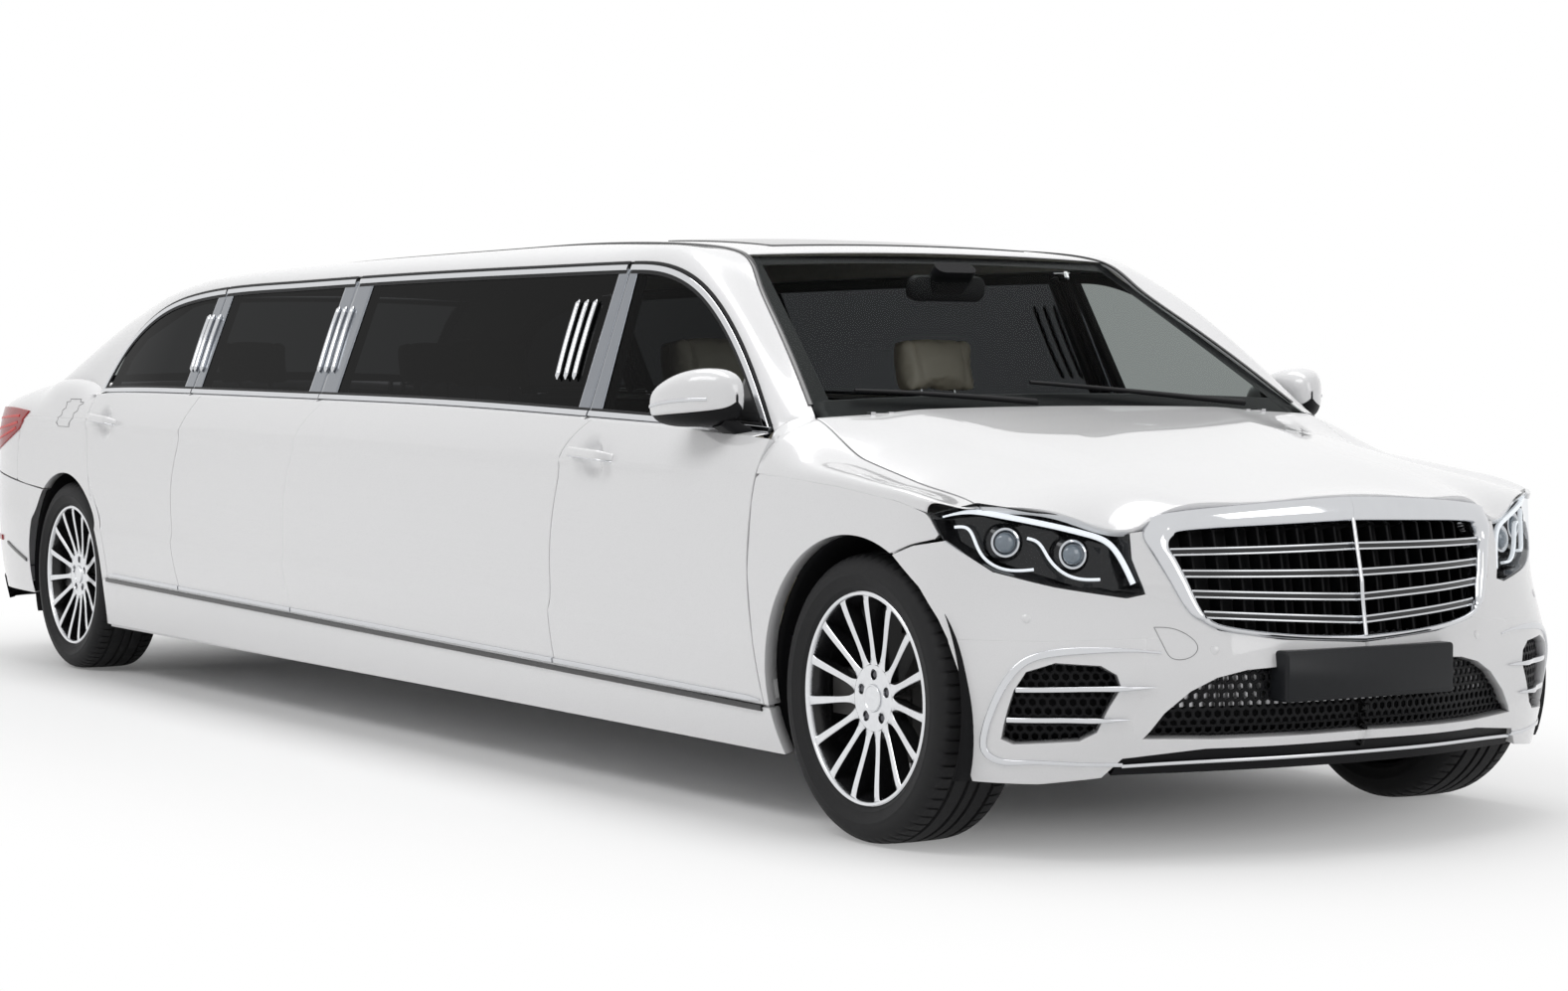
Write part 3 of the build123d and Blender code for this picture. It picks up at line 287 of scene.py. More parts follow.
PLAN_HIGH[:7] = [
    (0.712, 0), (0.692, 0.267), (0.602, 0.53), (0.512, 0.71), (0.402, 0.845), (0.288, 0.925), (0.150, 0.947),
]


def skin(q, z):
    """Point of the lower body: the plan at q, narrowed by the section at height z.

    The plan is eased from its low to its lamp-height line. Above the lamps the nose leans back and below
    the sill line it tucks in; the tail does the same. Two soft folds run along the flank: the skin dips just
    under the upper one and just over the lower one. Behind each door handle it is pressed in to a dish."""
    q, z = np.broadcast_arrays(np.asarray(q, float), np.asarray(z, float))
    flat = curve(PLAN_Q, PLAN_LOW, q)
    flat = flat + (curve(PLAN_Q, PLAN_HIGH, q) - flat) * ease(z, 0.40, 0.66)[..., None]
    nose, tail = ease(-q, 0.25, 0.85), ease(q, 5.85, 6.6)
    x = F + flat[..., 0] - nose * (0.22 * np.maximum(z - 0.64, 0) + 0.30 * np.maximum(0.31 - z, 0))
    x = x + tail * (0.17 * np.maximum(z - 0.60, 0) + 0.30 * np.maximum(0.42 - z, 0))
    run = ease(q, 0.35, 0.9) * (1 - ease(q, 5.7, 6.1))
    under = np.maximum(0.865 + 0.0085 * q - z, 0) / 0.050
    over = np.maximum(z - (0.435 + 0.02 * q), 0) / 0.060
    dip = run * (0.014 * under * np.exp(1 - under) + 0.011 * over * np.exp(1 - over))
    for at_q, at_z in HANDLES:
        away = np.hypot(q - at_q, z - at_z) / SCOOP_R
        dip = dip + 0.016 * np.exp(-(away**4))
    width = curve(SIDE_Z, SIDE_Y, z) / WAIST
    y = flat[..., 1] * width + (SKIN_OUT - dip) * ease(flat[..., 1], 0.3, 0.8)
    return np.stack([x, y, z], -1)


def field(bottom, top, front, back, count=(60, 40), bend=through):
    """Patch of (q, z) places between four border lines of such places."""
    along, up = spread(count[0]), spread(count[1])
    lines = [bend(line, share) for line, share in ((bottom, along), (top, along), (front, up), (back, up))]
    return patch(*lines, along, up)


def flank(bottom, top, front, back, count=(60, 40), bend=through):
    """Patch of the flank between four border lines given as (q, z) points."""
    grid = field(bottom, top, front, back, count, bend)
    return skin(grid[..., 0], grid[..., 1])


PAINT = finish("white_enamel", (0.79, 0.79, 0.80), 0.28, coat=1.0, grain=900, vary=0.015)
GAP = 0.0035  # half of a shut gap plus the hem's radius
ABOVE_TRIM = GAP + 0.004  # lower edge of the side panels over the sill trim
DOOR_HEM = 0.05
BELT_Q = (0.35, 0.757, 1.389, 2.168, 3.107, 4.115, 4.948, 5.12)
BELT_Z = (0.955, 0.972, 0.990, 1.007, 1.016, 1.023, 1.020, 1.016)
TRIM_Q = (0.35, 5.0)
TRIM_Z = (0.292, 0.362)


def belt(q):
    return curve(BELT_Q, BELT_Z, q)


def trim_line(q):
    return np.interp(q, TRIM_Q, TRIM_Z)


def between(start, end, height, lift, count=12):
    """Border line along the car at a height given by a function."""
    q = np.linspace(start, end, count)
    return np.stack([q, height(q) + lift], -1)


DOOR_NOSE = [(0.411, 0.300), (0.440, 0.466), (0.455, 0.63), (0.440, 0.80), (0.418, 0.887), (0.390, 0.956)]
DOOR_TAIL = [(1.489, 0.310), (1.505, 0.50), (1.484, 0.72), (1.437, 0.898), (1.318, 0.988)]
MID_SEAM = [(3.235, 0.340), (3.290, 0.518), (3.278, 0.71), (3.208, 0.902), (3.065, 1.015)]
REAR_NOSE = [(4.165, 0.352), (4.228, 0.539), (4.222, 0.744), (4.164, 0.915), (4.066, 1.023)]
REAR_TAIL = [(4.88, 0.540), (5.018, 0.719), (5.066, 0.826), (5.060, 0.935), (5.035, 1.016)]


def shifted(line, dq):
    return [(q + dq, z) for q, z in line]


front_door = flank(
    between(DOOR_NOSE[0][0] + GAP, DOOR_TAIL[0][0] - GAP, trim_line, ABOVE_TRIM),
    between(DOOR_NOSE[-1][0] + GAP, DOOR_TAIL[-1][0] - GAP, belt, 0),
    shifted(DOOR_NOSE, GAP), shifted(DOOR_TAIL, -GAP), (130, 76),
)
skins = pair("front_door_skin", front_door, PAINT, "front_door_{}", "white_paint", depth=DOOR_HEM)
for side, piece in zip(("left", "right"), skins):
    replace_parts(piece, f"front_door_{side}")
long_side = flank(
    between(DOOR_TAIL[0][0] + GAP, MID_SEAM[0][0] - GAP / 2, trim_line, ABOVE_TRIM),
    between(DOOR_TAIL[-1][0] + GAP, MID_SEAM[-1][0] - GAP / 2, belt, 0),
    shifted(DOOR_TAIL, GAP), shifted(MID_SEAM, -GAP / 2), (90, 40),
)
for piece in pair("long_side_panel", long_side, PAINT, "body", "white_paint", depth=DOOR_HEM):
    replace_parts(piece, "body_sides")
short_side = flank(
    between(MID_SEAM[0][0] + GAP / 2, REAR_NOSE[0][0] - GAP, trim_line, ABOVE_TRIM),
    between(MID_SEAM[-1][0] + GAP / 2, REAR_NOSE[-1][0] - GAP, belt, 0),
    shifted(MID_SEAM, GAP / 2), shifted(REAR_NOSE, -GAP), (60, 40),
)
for piece in pair("short_side_panel", short_side, PAINT, "body", "white_paint", depth=DOOR_HEM):
    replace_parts(piece, "body_sides")
ARCH_R, DOOR_ARCH_R = 0.392, 0.450  # of the arch's lip, and of the rear door's cut round it
arch_angle = np.linspace(np.arcsin((0.357 - HUB_Z) / DOOR_ARCH_R), 0.446, 8)
door_arch = [(WB - DOOR_ARCH_R * np.cos(a), HUB_Z + DOOR_ARCH_R * np.sin(a)) for a in arch_angle]
rear_door = flank(
    between(REAR_NOSE[0][0] + GAP, door_arch[0][0] - GAP, trim_line, ABOVE_TRIM),
    between(REAR_NOSE[-1][0] + GAP, REAR_TAIL[-1][0] - GAP, belt, 0),
    shifted(REAR_NOSE, GAP), shifted(door_arch + REAR_TAIL[1:], -GAP), (110, 80),
)
skins = pair("rear_door_skin", rear_door, PAINT, "rear_door_{}", "white_paint", depth=DOOR_HEM)
for side, piece in zip(("left", "right"), skins):
    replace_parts(piece, f"rear_door_{side}")

# Front wings: one pressing from the door round the wheel arch to the lamp, rolled over to the bonnet.
# The arch lip is turned in towards the tyre, and the wing is bolted along its top under the bonnet's edge.
HOOD_SIDE = np.array([
    (-0.391, 0.798), (-0.20, 0.802), (-0.03, 0.806), (0.20, 0.818), (0.32, 0.838), (0.385, 0.852),
])
BONNET_FRONT = np.array([
    (0.672, 0, 0.840), (0.667, 0.103, 0.837), (0.642, 0.308, 0.826), (0.587, 0.482, 0.808),
    (0.574, 0.528, 0.782), (0.564, 0.563, 0.768), (0.488, 0.706, 0.804), (0.385, 0.852, 0.8165),
])
LAMP_TOP = [(-0.821, 0.761), (-0.662, 0.800), (-0.441, 0.825), (-0.301, 0.797)]
LAMP_LOW = [(-0.800, 0.613), (-0.638, 0.638), (-0.480, 0.672), (-0.349, 0.736)]
LAMP_INNER = [(-0.800, 0.613), (-0.842, 0.622), (-0.819, 0.700), (-0.821, 0.761)]
LAMP_TIP = [(-0.349, 0.736), (-0.301, 0.797)]


def bonnet_z(x, y):
    """Height of the bonnet: it falls forward, is lightly crowned across and rolls down at its sides."""
    at = x - F
    roll = 0.048 * (0.05 + 0.95 * ease(at, -0.40, -0.16)) * (1 - 0.5 * ease(at, 0.05, 0.385))
    wide = np.abs(y) / 0.80
    return 1.033 - 0.19 * (at + 0.42) - (0.018 + 0.007 * ease(at, -0.40, -0.1)) * wide**2 - roll * wide**6


def wing_top_edge(q):
    """The wing's inner edge beside the bonnet, from the cowl to the lamp."""
    x = np.interp(q, [-0.42, 0.40], [0.378, -0.40])
    y = curve(HOOD_SIDE[:, 0], HOOD_SIDE[:, 1], x) + 2 * GAP
    return np.stack([F + x, y, bonnet_z(F + x, y - 0.004) - 0.001], -1)


def roll_over(start_line, start_way, end_line, end_way, pulls, rows):
    """Cubic surface between two lines: it leaves the first and meets the second along their ways.

    The pulls say how far each way is followed, as shares of the span between the lines."""
    span = np.linalg.norm(end_line - start_line, axis=-1, keepdims=True)
    near, far = start_line + pulls[0] * span * start_way, end_line + pulls[1] * span * end_way
    t = spread(rows, 0.02)[:, None, None]
    first_half = (1 - t) ** 2 * ((1 - t) * start_line + 3 * t * near)
    return first_half + t**2 * (3 * (1 - t) * far + t * end_line)


LAMP_TIP_Q, LAMP_TIP_Z = LAMP_TIP[1]
wing_q = np.r_[np.linspace(LAMP_TIP_Q + 0.006, -0.02, 22), np.linspace(0.0, DOOR_NOSE[-1][0] - GAP, 26)]
wing_low = np.interp(wing_q, [LAMP_TIP_Q, -0.18, 0.05, 0.40], [LAMP_TIP_Z + 0.004, 0.826, 0.850, 0.872])
edge_line = wing_top_edge(np.interp(wing_q, [wing_q[0], wing_q[-1]], [-0.42, wing_q[-1]]))
start_line = skin(wing_q, wing_low)
rise = unit(skin(wing_q, wing_low + 0.01) - start_line)
drop_out = np.array([0, 0.98, -0.30])
shoulder = roll_over(start_line, rise, edge_line, drop_out, (0.42, 0.45), 26)
nose_q, nose_z = np.transpose(DOOR_NOSE[3:])
door_reach = np.interp(shoulder[:, -1, 2], nose_z, nose_q) - nose_q[-1]
shoulder[..., 0] -= door_reach[:, None] * ease(np.linspace(0, 1, len(wing_q)), 0.6, 1)
arch_start, arch_end = np.arcsin((0.300 - HUB_Z) / ARCH_R), np.pi - np.arcsin((0.705 - HUB_Z) / ARCH_R)
sweep = np.linspace(arch_start, arch_end, 71)
lip = np.stack([ARCH_R * np.cos(sweep), HUB_Z + ARCH_R * np.sin(sweep)], -1)
border = np.array(
    [(DOOR_NOSE[0][0] - GAP, 0.300)]
    + [(q - GAP, z) for q, z in DOOR_NOSE[1:4]]
    + [(0.4185, 0.868)]
    + [(q, z) for q, z in zip(wing_q[::-6], wing_low[::-6])]
    + [(LAMP_TIP_Q + 0.006, LAMP_TIP_Z), (-0.334, 0.746), (-0.245, 0.730), (-0.172, 0.708)]
)
around = straight(border, np.linspace(0, 1, 71))
ring = spread(22, 0.01)[:, None, None]
wing = lip[None] + (around - lip)[None] * ring
wing = skin(wing[..., 0], wing[..., 1])
pair("front_wing", wing[:, ::-1], PAINT, "body", "white_paint", depth=0.035)
pair("front_wing_shoulder", shoulder, PAINT, "body", "white_paint", edge="tf")
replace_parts(bpy.data.objects["front_wing_left"], "fenders")

# Arch linings: black moulded half rings round all four wheels, clipped in behind the lips of the arches.
# They close the arches, so that nothing shows past the wheels.
ARCH_LINING_R = 0.401
turn = np.linspace(-0.42, np.pi + 0.42, 70)
reach = np.linspace(0.760, 0.918, 8)
lining_y, lining_turn = np.meshgrid(reach, turn, indexing="ij")
ARCH_BLACK = finish(
    "arch_lining", (0.010, 0.010, 0.011), 0.7, grain=60, vary=0.2, bump=0.3, bump_grain=500, shine=0.1,
)
for name, axle in (("front", F), ("rear", R)):
    arch_lining = np.stack([
        axle + ARCH_LINING_R * np.cos(lining_turn), lining_y,
        np.maximum(HUB_Z + ARCH_LINING_R * np.sin(lining_turn), 0.19),
    ], -1)
    pair(
        f"{name}_arch_lining", arch_lining[:, ::-1], ARCH_BLACK, "body", "black_plastic", edge="",
        wall=0.0015,
    )

# Sills: long steel pressings under the doors, in the body's enamel, from one wheel arch to the other.
# Their borders are turned in, the lower one under the floor.
SILL_LOW_Z = 0.180


def arch_q(z, axle, way, radius):
    """Where the wheel arch's circle crosses a height, ahead of the axle (-1) or behind it (1)."""
    return axle + way * np.sqrt(np.maximum(radius**2 - (np.asarray(z) - HUB_Z) ** 2, 0))


sill_front_z = np.linspace(SILL_LOW_Z, trim_line(0.39) - GAP, 9)
sill_back_z = np.linspace(SILL_LOW_Z + 0.012, trim_line(WB - 0.39) - GAP, 9)
sill_front = np.stack([arch_q(sill_front_z, 0, 1, ARCH_R), sill_front_z], -1)
sill_back = np.stack([arch_q(sill_back_z, WB, -1, ARCH_R), sill_back_z], -1)
sill = flank(
    np.linspace(sill_front[0], sill_back[0], 12),
    between(sill_front[-1, 0], sill_back[-1, 0], trim_line, -GAP),
    sill_front, sill_back, (110, 14),
)
pair("sill_skin", sill, PAINT, "body", "white_paint", depth=0.03)

# Rear quarters: one pressing each side from the rear door over the wheel arch to the lamp and the bumper.
# The arch lip is turned in. Their shoulders, rolled over to the boot lid, come with the rear pillars.
REAR_ARCH_R = 0.376  # behind the wheel the arch lies closer to the tyre
BUMPER_SPLIT = [
    (WB + 0.210, 0.660), (5.80, 0.683), (6.00, 0.703), (6.20, 0.720), (6.40, 0.726), (6.62, 0.728),
]
SHOULDER_REAR_Z = 0.930
CORNER_Q, CORNER_Z = BUMPER_SPLIT[1]
END_Q, END_Z = BUMPER_SPLIT[-1]
lip_end = np.pi - np.arcsin((BUMPER_SPLIT[0][1] + GAP - HUB_Z) / REAR_ARCH_R)
sweep = np.linspace(np.arcsin((0.352 - HUB_Z) / ARCH_R), lip_end, 81)
lip_r = ARCH_R + (REAR_ARCH_R - ARCH_R) * ease(sweep, 0.8, 2.0)
rear_lip = np.stack([WB - lip_r * np.cos(sweep), HUB_Z + lip_r * np.sin(sweep)], -1)
door_side = [(q + GAP, z) for q, z in door_arch[::2] + REAR_TAIL[1:4]]
border = np.array(
    door_side
    + [(5.07, SHOULDER_REAR_Z), (5.30, SHOULDER_REAR_Z), (5.60, SHOULDER_REAR_Z), (CORNER_Q, SHOULDER_REAR_Z)]
    + [(CORNER_Q, 0.85), (CORNER_Q, 0.76), (CORNER_Q, CORNER_Z + GAP)]
    + [(5.70, 0.672 + GAP), (BUMPER_SPLIT[0][0], BUMPER_SPLIT[0][1] + GAP)]
)
around = straight(border, np.linspace(0, 1, 81))
ring = spread(22, 0.01)[:, None, None]
quarter = rear_lip[None] + (around - rear_lip)[None] * ring
quarter = skin(quarter[..., 0], quarter[..., 1])
for piece in pair("rear_quarter", quarter, PAINT, "body", "white_paint", edge="b", depth=0.03):
    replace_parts(piece, "body_sides")
jamb_line = through(door_side, np.linspace(0, 1, 40))
jamb = skin(*jamb_line.T)[:, None] - np.array([0, 0.06, 0]) * np.linspace(1, 0, 6)[None, :, None]
pair("rear_jamb", jamb, PAINT, "body", "white_paint", edge="")
corner = flank(
    [(q, z + GAP) for q, z in BUMPER_SPLIT[1:]],
    [(q, SHOULDER_REAR_Z) for q in (CORNER_Q, 6.0, 6.2, 6.4, END_Q)],
    [(CORNER_Q, CORNER_Z + GAP), (CORNER_Q, 0.80), (CORNER_Q, SHOULDER_REAR_Z)],
    [(END_Q, END_Z + GAP), (END_Q, 0.83), (END_Q, SHOULDER_REAR_Z)], (50, 20),
)
pair("rear_corner", corner, PAINT, "body", "white_paint", edge="")

# Roof rails and pillars: the welded frame round the side windows, from the screen pillar to the tail.
# The lower line is the window opening and the upper one the edge of the screen, the roof and the rear window.
RAIL_LOW = np.array([
    (0.455, 0.975), (0.62, 1.118), (0.79, 1.243), (1.00, 1.355), (1.23, 1.412), (1.432, 1.421),
    (1.80, 1.421), (2.30, 1.420), (3.14, 1.414), (3.70, 1.407), (4.196, 1.397), (4.45, 1.380),
    (4.70, 1.340), (4.90, 1.266), (5.03, 1.170), (5.11, 1.035),
])
RAIL_TOP = np.array([
    (-0.405, 0.797, 1.012), (-0.58, 0.742, 1.134), (-0.76, 0.687, 1.250), (-0.93, 0.634, 1.357),
    (-1.06, 0.600, 1.434), (-1.30, 0.574, 1.464), (-1.80, 0.562, 1.484), (-2.30, 0.560, 1.484),
    (-3.13, 0.560, 1.476), (-3.70, 0.560, 1.466), (-4.20, 0.558, 1.448), (-4.50, 0.556, 1.428),
    (-4.80, 0.556, 1.398), (-5.08, 0.575, 1.362), (-5.38, 0.650, 1.250), (-5.69, 0.742, 1.069),
])
RAIL_FACE = np.array([
    (0.5, 0.25, 0.83), (0.5, 0.25, 0.83), (0.5, 0.25, 0.83), (0.5, 0.2, 0.83), (0.45, 0.15, 0.87),
    (0.15, 0.13, 0.98), (0.03, 0.11, 1), (0, 0.1, 1), (0, 0.1, 1), (-0.03, 0.1, 1), (-0.05, 0.1, 1),
    (-0.07, 0.1, 1), (-0.10, 0.12, 0.98), (-0.35, 0.2, 0.9), (-0.45, 0.3, 0.84), (-0.45, 0.3, 0.84),
])


def lean_in(reach):
    """Slow start of a taper: nothing, then a parabola, then straight."""
    blend = 0.4
    return np.where(reach < 0, 0, np.where(reach < blend, reach**2 / (2 * blend), reach - blend / 2))


def side_glass_y(q, z):
    """Half-width of the cabin: a plane that leans in with height and tapers towards both screens."""
    return 0.742 + 0.403 * (1.404 - z) - 0.062 * lean_in(1.25 - q) - 0.085 * lean_in(q - WB + 0.8)


def cabin(q, z, out=0.0):
    q, z = np.broadcast_arrays(np.asarray(q, float), np.asarray(z, float))
    return np.stack([F - q, side_glass_y(q, z) + out, z], -1)


rail_run = np.r_[0, np.cumsum(np.linalg.norm(np.diff(RAIL_LOW, axis=0), axis=1))]
rail_at = np.linspace(0, rail_run[-1], 220)
rail_low_qz = curve(rail_run, RAIL_LOW, rail_at)
rail_low = cabin(rail_low_qz[:, 0], rail_low_qz[:, 1], 0.006)
rail_top = curve(rail_run, RAIL_TOP, rail_at) + (F, 0, 0)
face = unit(curve(rail_run, RAIL_FACE, rail_at))
low_way = unit(np.gradient(rail_low, axis=0))
top_way = unit(np.gradient(rail_top, axis=0))
up_way = unit(np.cross(np.broadcast_to(unit(np.array([0, 0.927, 0.374])), low_way.shape), low_way))
up_way = up_way * np.sign(up_way[:, 2:])
out_way = unit(np.cross(top_way, face))
out_way = out_way * np.sign(np.sum(out_way * (rail_low - rail_top), -1, keepdims=True))
rail = roll_over(rail_low, up_way, rail_top, out_way, (0.36, 0.36), 20)
pair("roof_rail", rail, PAINT, "body", "white_paint", depth=0.010)
wing_end = through(shoulder[:, -1], np.linspace(0, 1, len(rail)))
fill = np.linspace(0, 1, 12)[None, :, None]
foot = wing_end[:, None] * (1 - fill) + rail[:, :1] * fill
pair("pillar_foot", foot, PAINT, "body", "white_paint", edge="")
DECK_EDGE_Q = (5.69, 5.82, 6.10, 6.30, 6.45, 6.62)
DECK_EDGE = [
    (-5.69, 0.742, 1.069), (-5.74, 0.712, 1.064), (-WB - 0.80, 0.700, 1.016), (-WB - 0.93, 0.620, 1.006),
    (-WB - 1.01, 0.585, 0.988), (-WB - 1.055, 0.572, 0.958),
]
pillar_q, lid_q = np.linspace(5.045, 5.11, 5)[:-1], np.linspace(5.69, 6.62, 40)[1:]
deck_q = np.r_[pillar_q, np.linspace(5.11, 5.69, len(rail)), lid_q]
lid_edge = curve(DECK_EDGE_Q, DECK_EDGE, lid_q) + (F, 0, 0)
edge_line = np.concatenate([cabin(pillar_q, 1.031, 0.006), rail[:, -1], lid_edge])
start_line = skin(deck_q, SHOULDER_REAR_Z)
rise = unit(skin(deck_q, SHOULDER_REAR_Z + 0.01) - start_line)
out_way = unit((start_line - edge_line) * (1, 1, 0)) - (0, 0, 0.10)
deck = roll_over(start_line, rise, edge_line, out_way, (0.40, 0.40), 24)
pair("rear_shoulder", deck, PAINT, "body", "white_paint", edge="")

# Roof: one wide steel pressing in the body's enamel, crowned both ways.
# It is welded to the rails along black mouldings, and bowed at the screens to meet their glass.
roof_pick = slice(
    int(np.searchsorted(rail_at, rail_run[4])) - 1, int(np.searchsorted(rail_at, rail_run[12])) + 8,
)
roof_edge = rail_top[roof_pick]
s = np.linspace(-1, 1, 61)[:, None]
place = np.linspace(0, 1, len(roof_edge))
crown = 0.020 - 0.006 * (1 - ease(place, 0, 0.15)) - 0.004 * ease(place, 0.85, 1)
bow = 0.012 * (1 - ease(place, 0, 0.12)) - 0.012 * ease(place, 0.9, 1)
roof = np.stack([
    roof_edge[None, :, 0] + bow * (1 - s**2),
    roof_edge[None, :, 1] * -s,
    roof_edge[None, :, 2] + crown * (1 - s**2),
], -1)
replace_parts(panel("roof_skin", roof, PAINT, "body", "white_paint", edge=""), "roof")

# Windscreen and rear window: laminated glass bonded into the body, bowed across and along.
# A black band printed round each one hides the bond.


def pane_finish(name, tint, mirror, rough=0.02):
    """Thin tinted glass: a tinted layer seen through, with a gloss that grows at a glancing look."""
    material = bpy.data.materials.new(name)
    material.use_nodes = True
    nodes, links = material.node_tree.nodes, material.node_tree.links
    nodes.remove(nodes["Principled BSDF"])
    body = nodes.new("ShaderNodeBsdfTransparent")
    body.inputs["Color"].default_value = (*tint, 1)
    gloss = nodes.new("ShaderNodeBsdfGlossy")
    gloss.inputs["Roughness"].default_value = rough
    glance = nodes.new("ShaderNodeLayerWeight")
    glance.inputs["Blend"].default_value = 0.5
    steep = nodes.new("ShaderNodeMath")
    steep.operation = "POWER"
    steep.inputs[1].default_value = 5
    share = nodes.new("ShaderNodeMapRange")
    share.inputs["To Min"].default_value = 0.04 * mirror
    share.inputs["To Max"].default_value = mirror
    mix = nodes.new("ShaderNodeMixShader")
    links.new(glance.outputs["Facing"], steep.inputs[0])
    links.new(steep.outputs["Value"], share.inputs["Value"])
    links.new(share.outputs["Result"], mix.inputs["Fac"])
    links.new(body.outputs["BSDF"], mix.inputs[1])
    links.new(gloss.outputs["BSDF"], mix.inputs[2])
    links.new(mix.outputs["Shader"], nodes["Material Output"].inputs["Surface"])
    return material


GLASS_CLEAR = pane_finish("screen_glass", (0.84, 0.87, 0.86), 0.05)
DOOR_GLASS = pane_finish("tinted_glass", (0.26, 0.275, 0.27), 0.15, 0.015)
FRIT = finish("printed_black_band", (0.006, 0.006, 0.007), 0.3, grain=80, shine=0.1)


def screen(base, top, away, up, side, inset=0.0):
    """Point of a screen: straight between its base and top corners, bowed outwards across and along."""
    base, top = np.array(base), np.array(top)
    line = base + (top - base) * up[..., None]
    bow = (0.010 + 0.12 * up * (1 - up)) * (1 - side**2)
    point = line * np.stack([np.ones_like(side), side, np.ones_like(side)], -1)
    return point + np.asarray(unit(np.array(away, float))) * (bow - inset)[..., None] + (F, 0, 0)


def screen_pieces(name, base, top, away, bands, node, way, material):
    """Glass and its printed border: the border is four strips of the same surface, a little behind it."""
    up, side = np.meshgrid(np.linspace(0, 1, 30), np.linspace(-1, 1, 50), indexing="ij")
    glass = screen(base, top, away, up, side)[:, ::way]
    glass_piece = panel(name, glass, material, "body", "screen_glass", wall=0, edge="")
    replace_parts(glass_piece, node)
    low_band, top_band, side_band = bands
    strips = (
        (0, low_band, -1, 1), (1 - top_band, 1, -1, 1), (0, 1, -1, -1 + side_band),
        (0, 1, 1 - side_band, 1),
    )
    for number, (v0, v1, s0, s1) in enumerate(strips):
        up, side = np.meshgrid(np.linspace(v0, v1, 20), np.linspace(s0, s1, 40), indexing="ij")
        strip = screen(base, top, away, up, side, 0.0045)[:, ::way]
        panel(f"{name}_band_{number}", strip, FRIT, "body", "black_plastic", wall=0.0005, edge="")


SCREEN_BASE, SCREEN_TOP, SCREEN_OUT = (-0.392, 0.793, 1.009), (-1.055, 0.600, 1.431), (0.53, 0, 0.85)
screen_pieces(
    "windscreen_glass", SCREEN_BASE, SCREEN_TOP, SCREEN_OUT, (0.10, 0.06, 0.07), "windscreen", 1, GLASS_CLEAR,
)
screen_pieces(
    "rear_window_glass", (-5.70, 0.738, 1.060), (-4.95, 0.555, 1.372), (-0.44, 0, 0.90), (0.08, 0.06, 0.06),
    "rear_window", -1, DOOR_GLASS,
)

# Side windows: glass flush in its frame, from the front door to the tapering pane in the rear door.
# The front door's is lightly tinted and the others are dark privacy glass.
PRIVACY = pane_finish("privacy_glass", (0.030, 0.031, 0.033), 0.25, 0.015)


def side_pane(bottom, top, front, back, out=0.004, count=(40, 20)):
    """Patch of the cabin's side between four (q, z) lines."""
    along, up = np.linspace(0, 1, count[0]), np.linspace(0, 1, count[1])
    lines = [through(line, share) for line, share in ((bottom, along), (top, along), (front, up), (back, up))]
    grid = patch(*lines, along, up)
    return cabin(grid[..., 0], grid[..., 1], out)


def sill_line(start, end, lift=0.012):
    return between(start, end, belt, lift, 8)


WINDOWS = {
    "front_door_window": (
        sill_line(0.50, 1.290),
        [(0.62, 1.100), (0.814, 1.222), (1.032, 1.337), (1.232, 1.390), (1.364, 1.396)],
        [(0.50, 0.975), (0.62, 1.100)], [(1.290, 1.001), (1.364, 1.396)], "front_door_{}",
        "front_door_glass_{}",
    ),
    "long_window": (
        sill_line(1.424, 3.007), [(1.464, 1.397), (2.2, 1.397), (3.030, 1.392)],
        [(1.424, 1.003), (1.464, 1.397)], [(3.007, 1.027), (3.030, 1.392)], "body", "side_glass",
    ),
    "short_window": (
        sill_line(3.219, 4.108), [(3.235, 1.390), (3.6, 1.386), (4.128, 1.376)],
        [(3.219, 1.028), (3.235, 1.390)], [(4.108, 1.035), (4.128, 1.376)], "body", "side_glass",
    ),
    "rear_door_window": (
        sill_line(4.256, 5.035),
        [(4.250, 1.371), (4.52, 1.347), (4.766, 1.293), (4.90, 1.222), (4.985, 1.155)],
        [(4.256, 1.035), (4.250, 1.371)], [(5.035, 1.030), (4.985, 1.155)], "rear_door_{}",
        "rear_door_glass_{}",
    ),
}
PANE_OF = {"front_door_window": DOOR_GLASS}
for name, (bottom, top, front, back, body, node) in WINDOWS.items():
    pane = side_pane(bottom, top, front, back)
    panes = pair(name, pane, PANE_OF.get(name, PRIVACY), body, "privacy_glass", edge="", wall=0)
    for side, piece in zip(("left", "right"), panes):
        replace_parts(piece, node.format(side))

# Bonnet: one large steel pressing hinged at the screen, with a raised middle that narrows to the grille.
# A beaded inner panel is hemmed into it.
hood_u, hood_v = spread(70, 0.003), spread(90, 0.003)
rear_edge = through([(-0.384, 0), (-0.386, 0.4), (-0.391, 0.798)], hood_u)
nose_edge = through(BONNET_FRONT, hood_u)
centre_edge = np.linspace((-0.384, 0), nose_edge[0, :2], len(hood_v))
side_edge = through(HOOD_SIDE, hood_v)
plan = patch(rear_edge, nose_edge[:, :2], centre_edge, side_edge, hood_u, hood_v)
x, y = F + plan[..., 0], plan[..., 1]
dome_edge = np.interp(plan[..., 0], [-0.4, 0.65], [0.56, 0.40])
dome = 0.007 * (1 - ease(y, dome_edge - 0.09, dome_edge + 0.09)) * ease(0.60 - plan[..., 0], 0, 0.35)
settle = nose_edge[:, 2] - bonnet_z(F + nose_edge[:, 0], nose_edge[:, 1])
height = bonnet_z(x, y) + dome + settle[None] * np.exp(-(1 - hood_v[:, None]) / 0.075)
half_bonnet = np.stack([x, y, height], -1)
bonnet = np.concatenate([half_bonnet[:, :0:-1] * OTHER_SIDE, half_bonnet], axis=1)
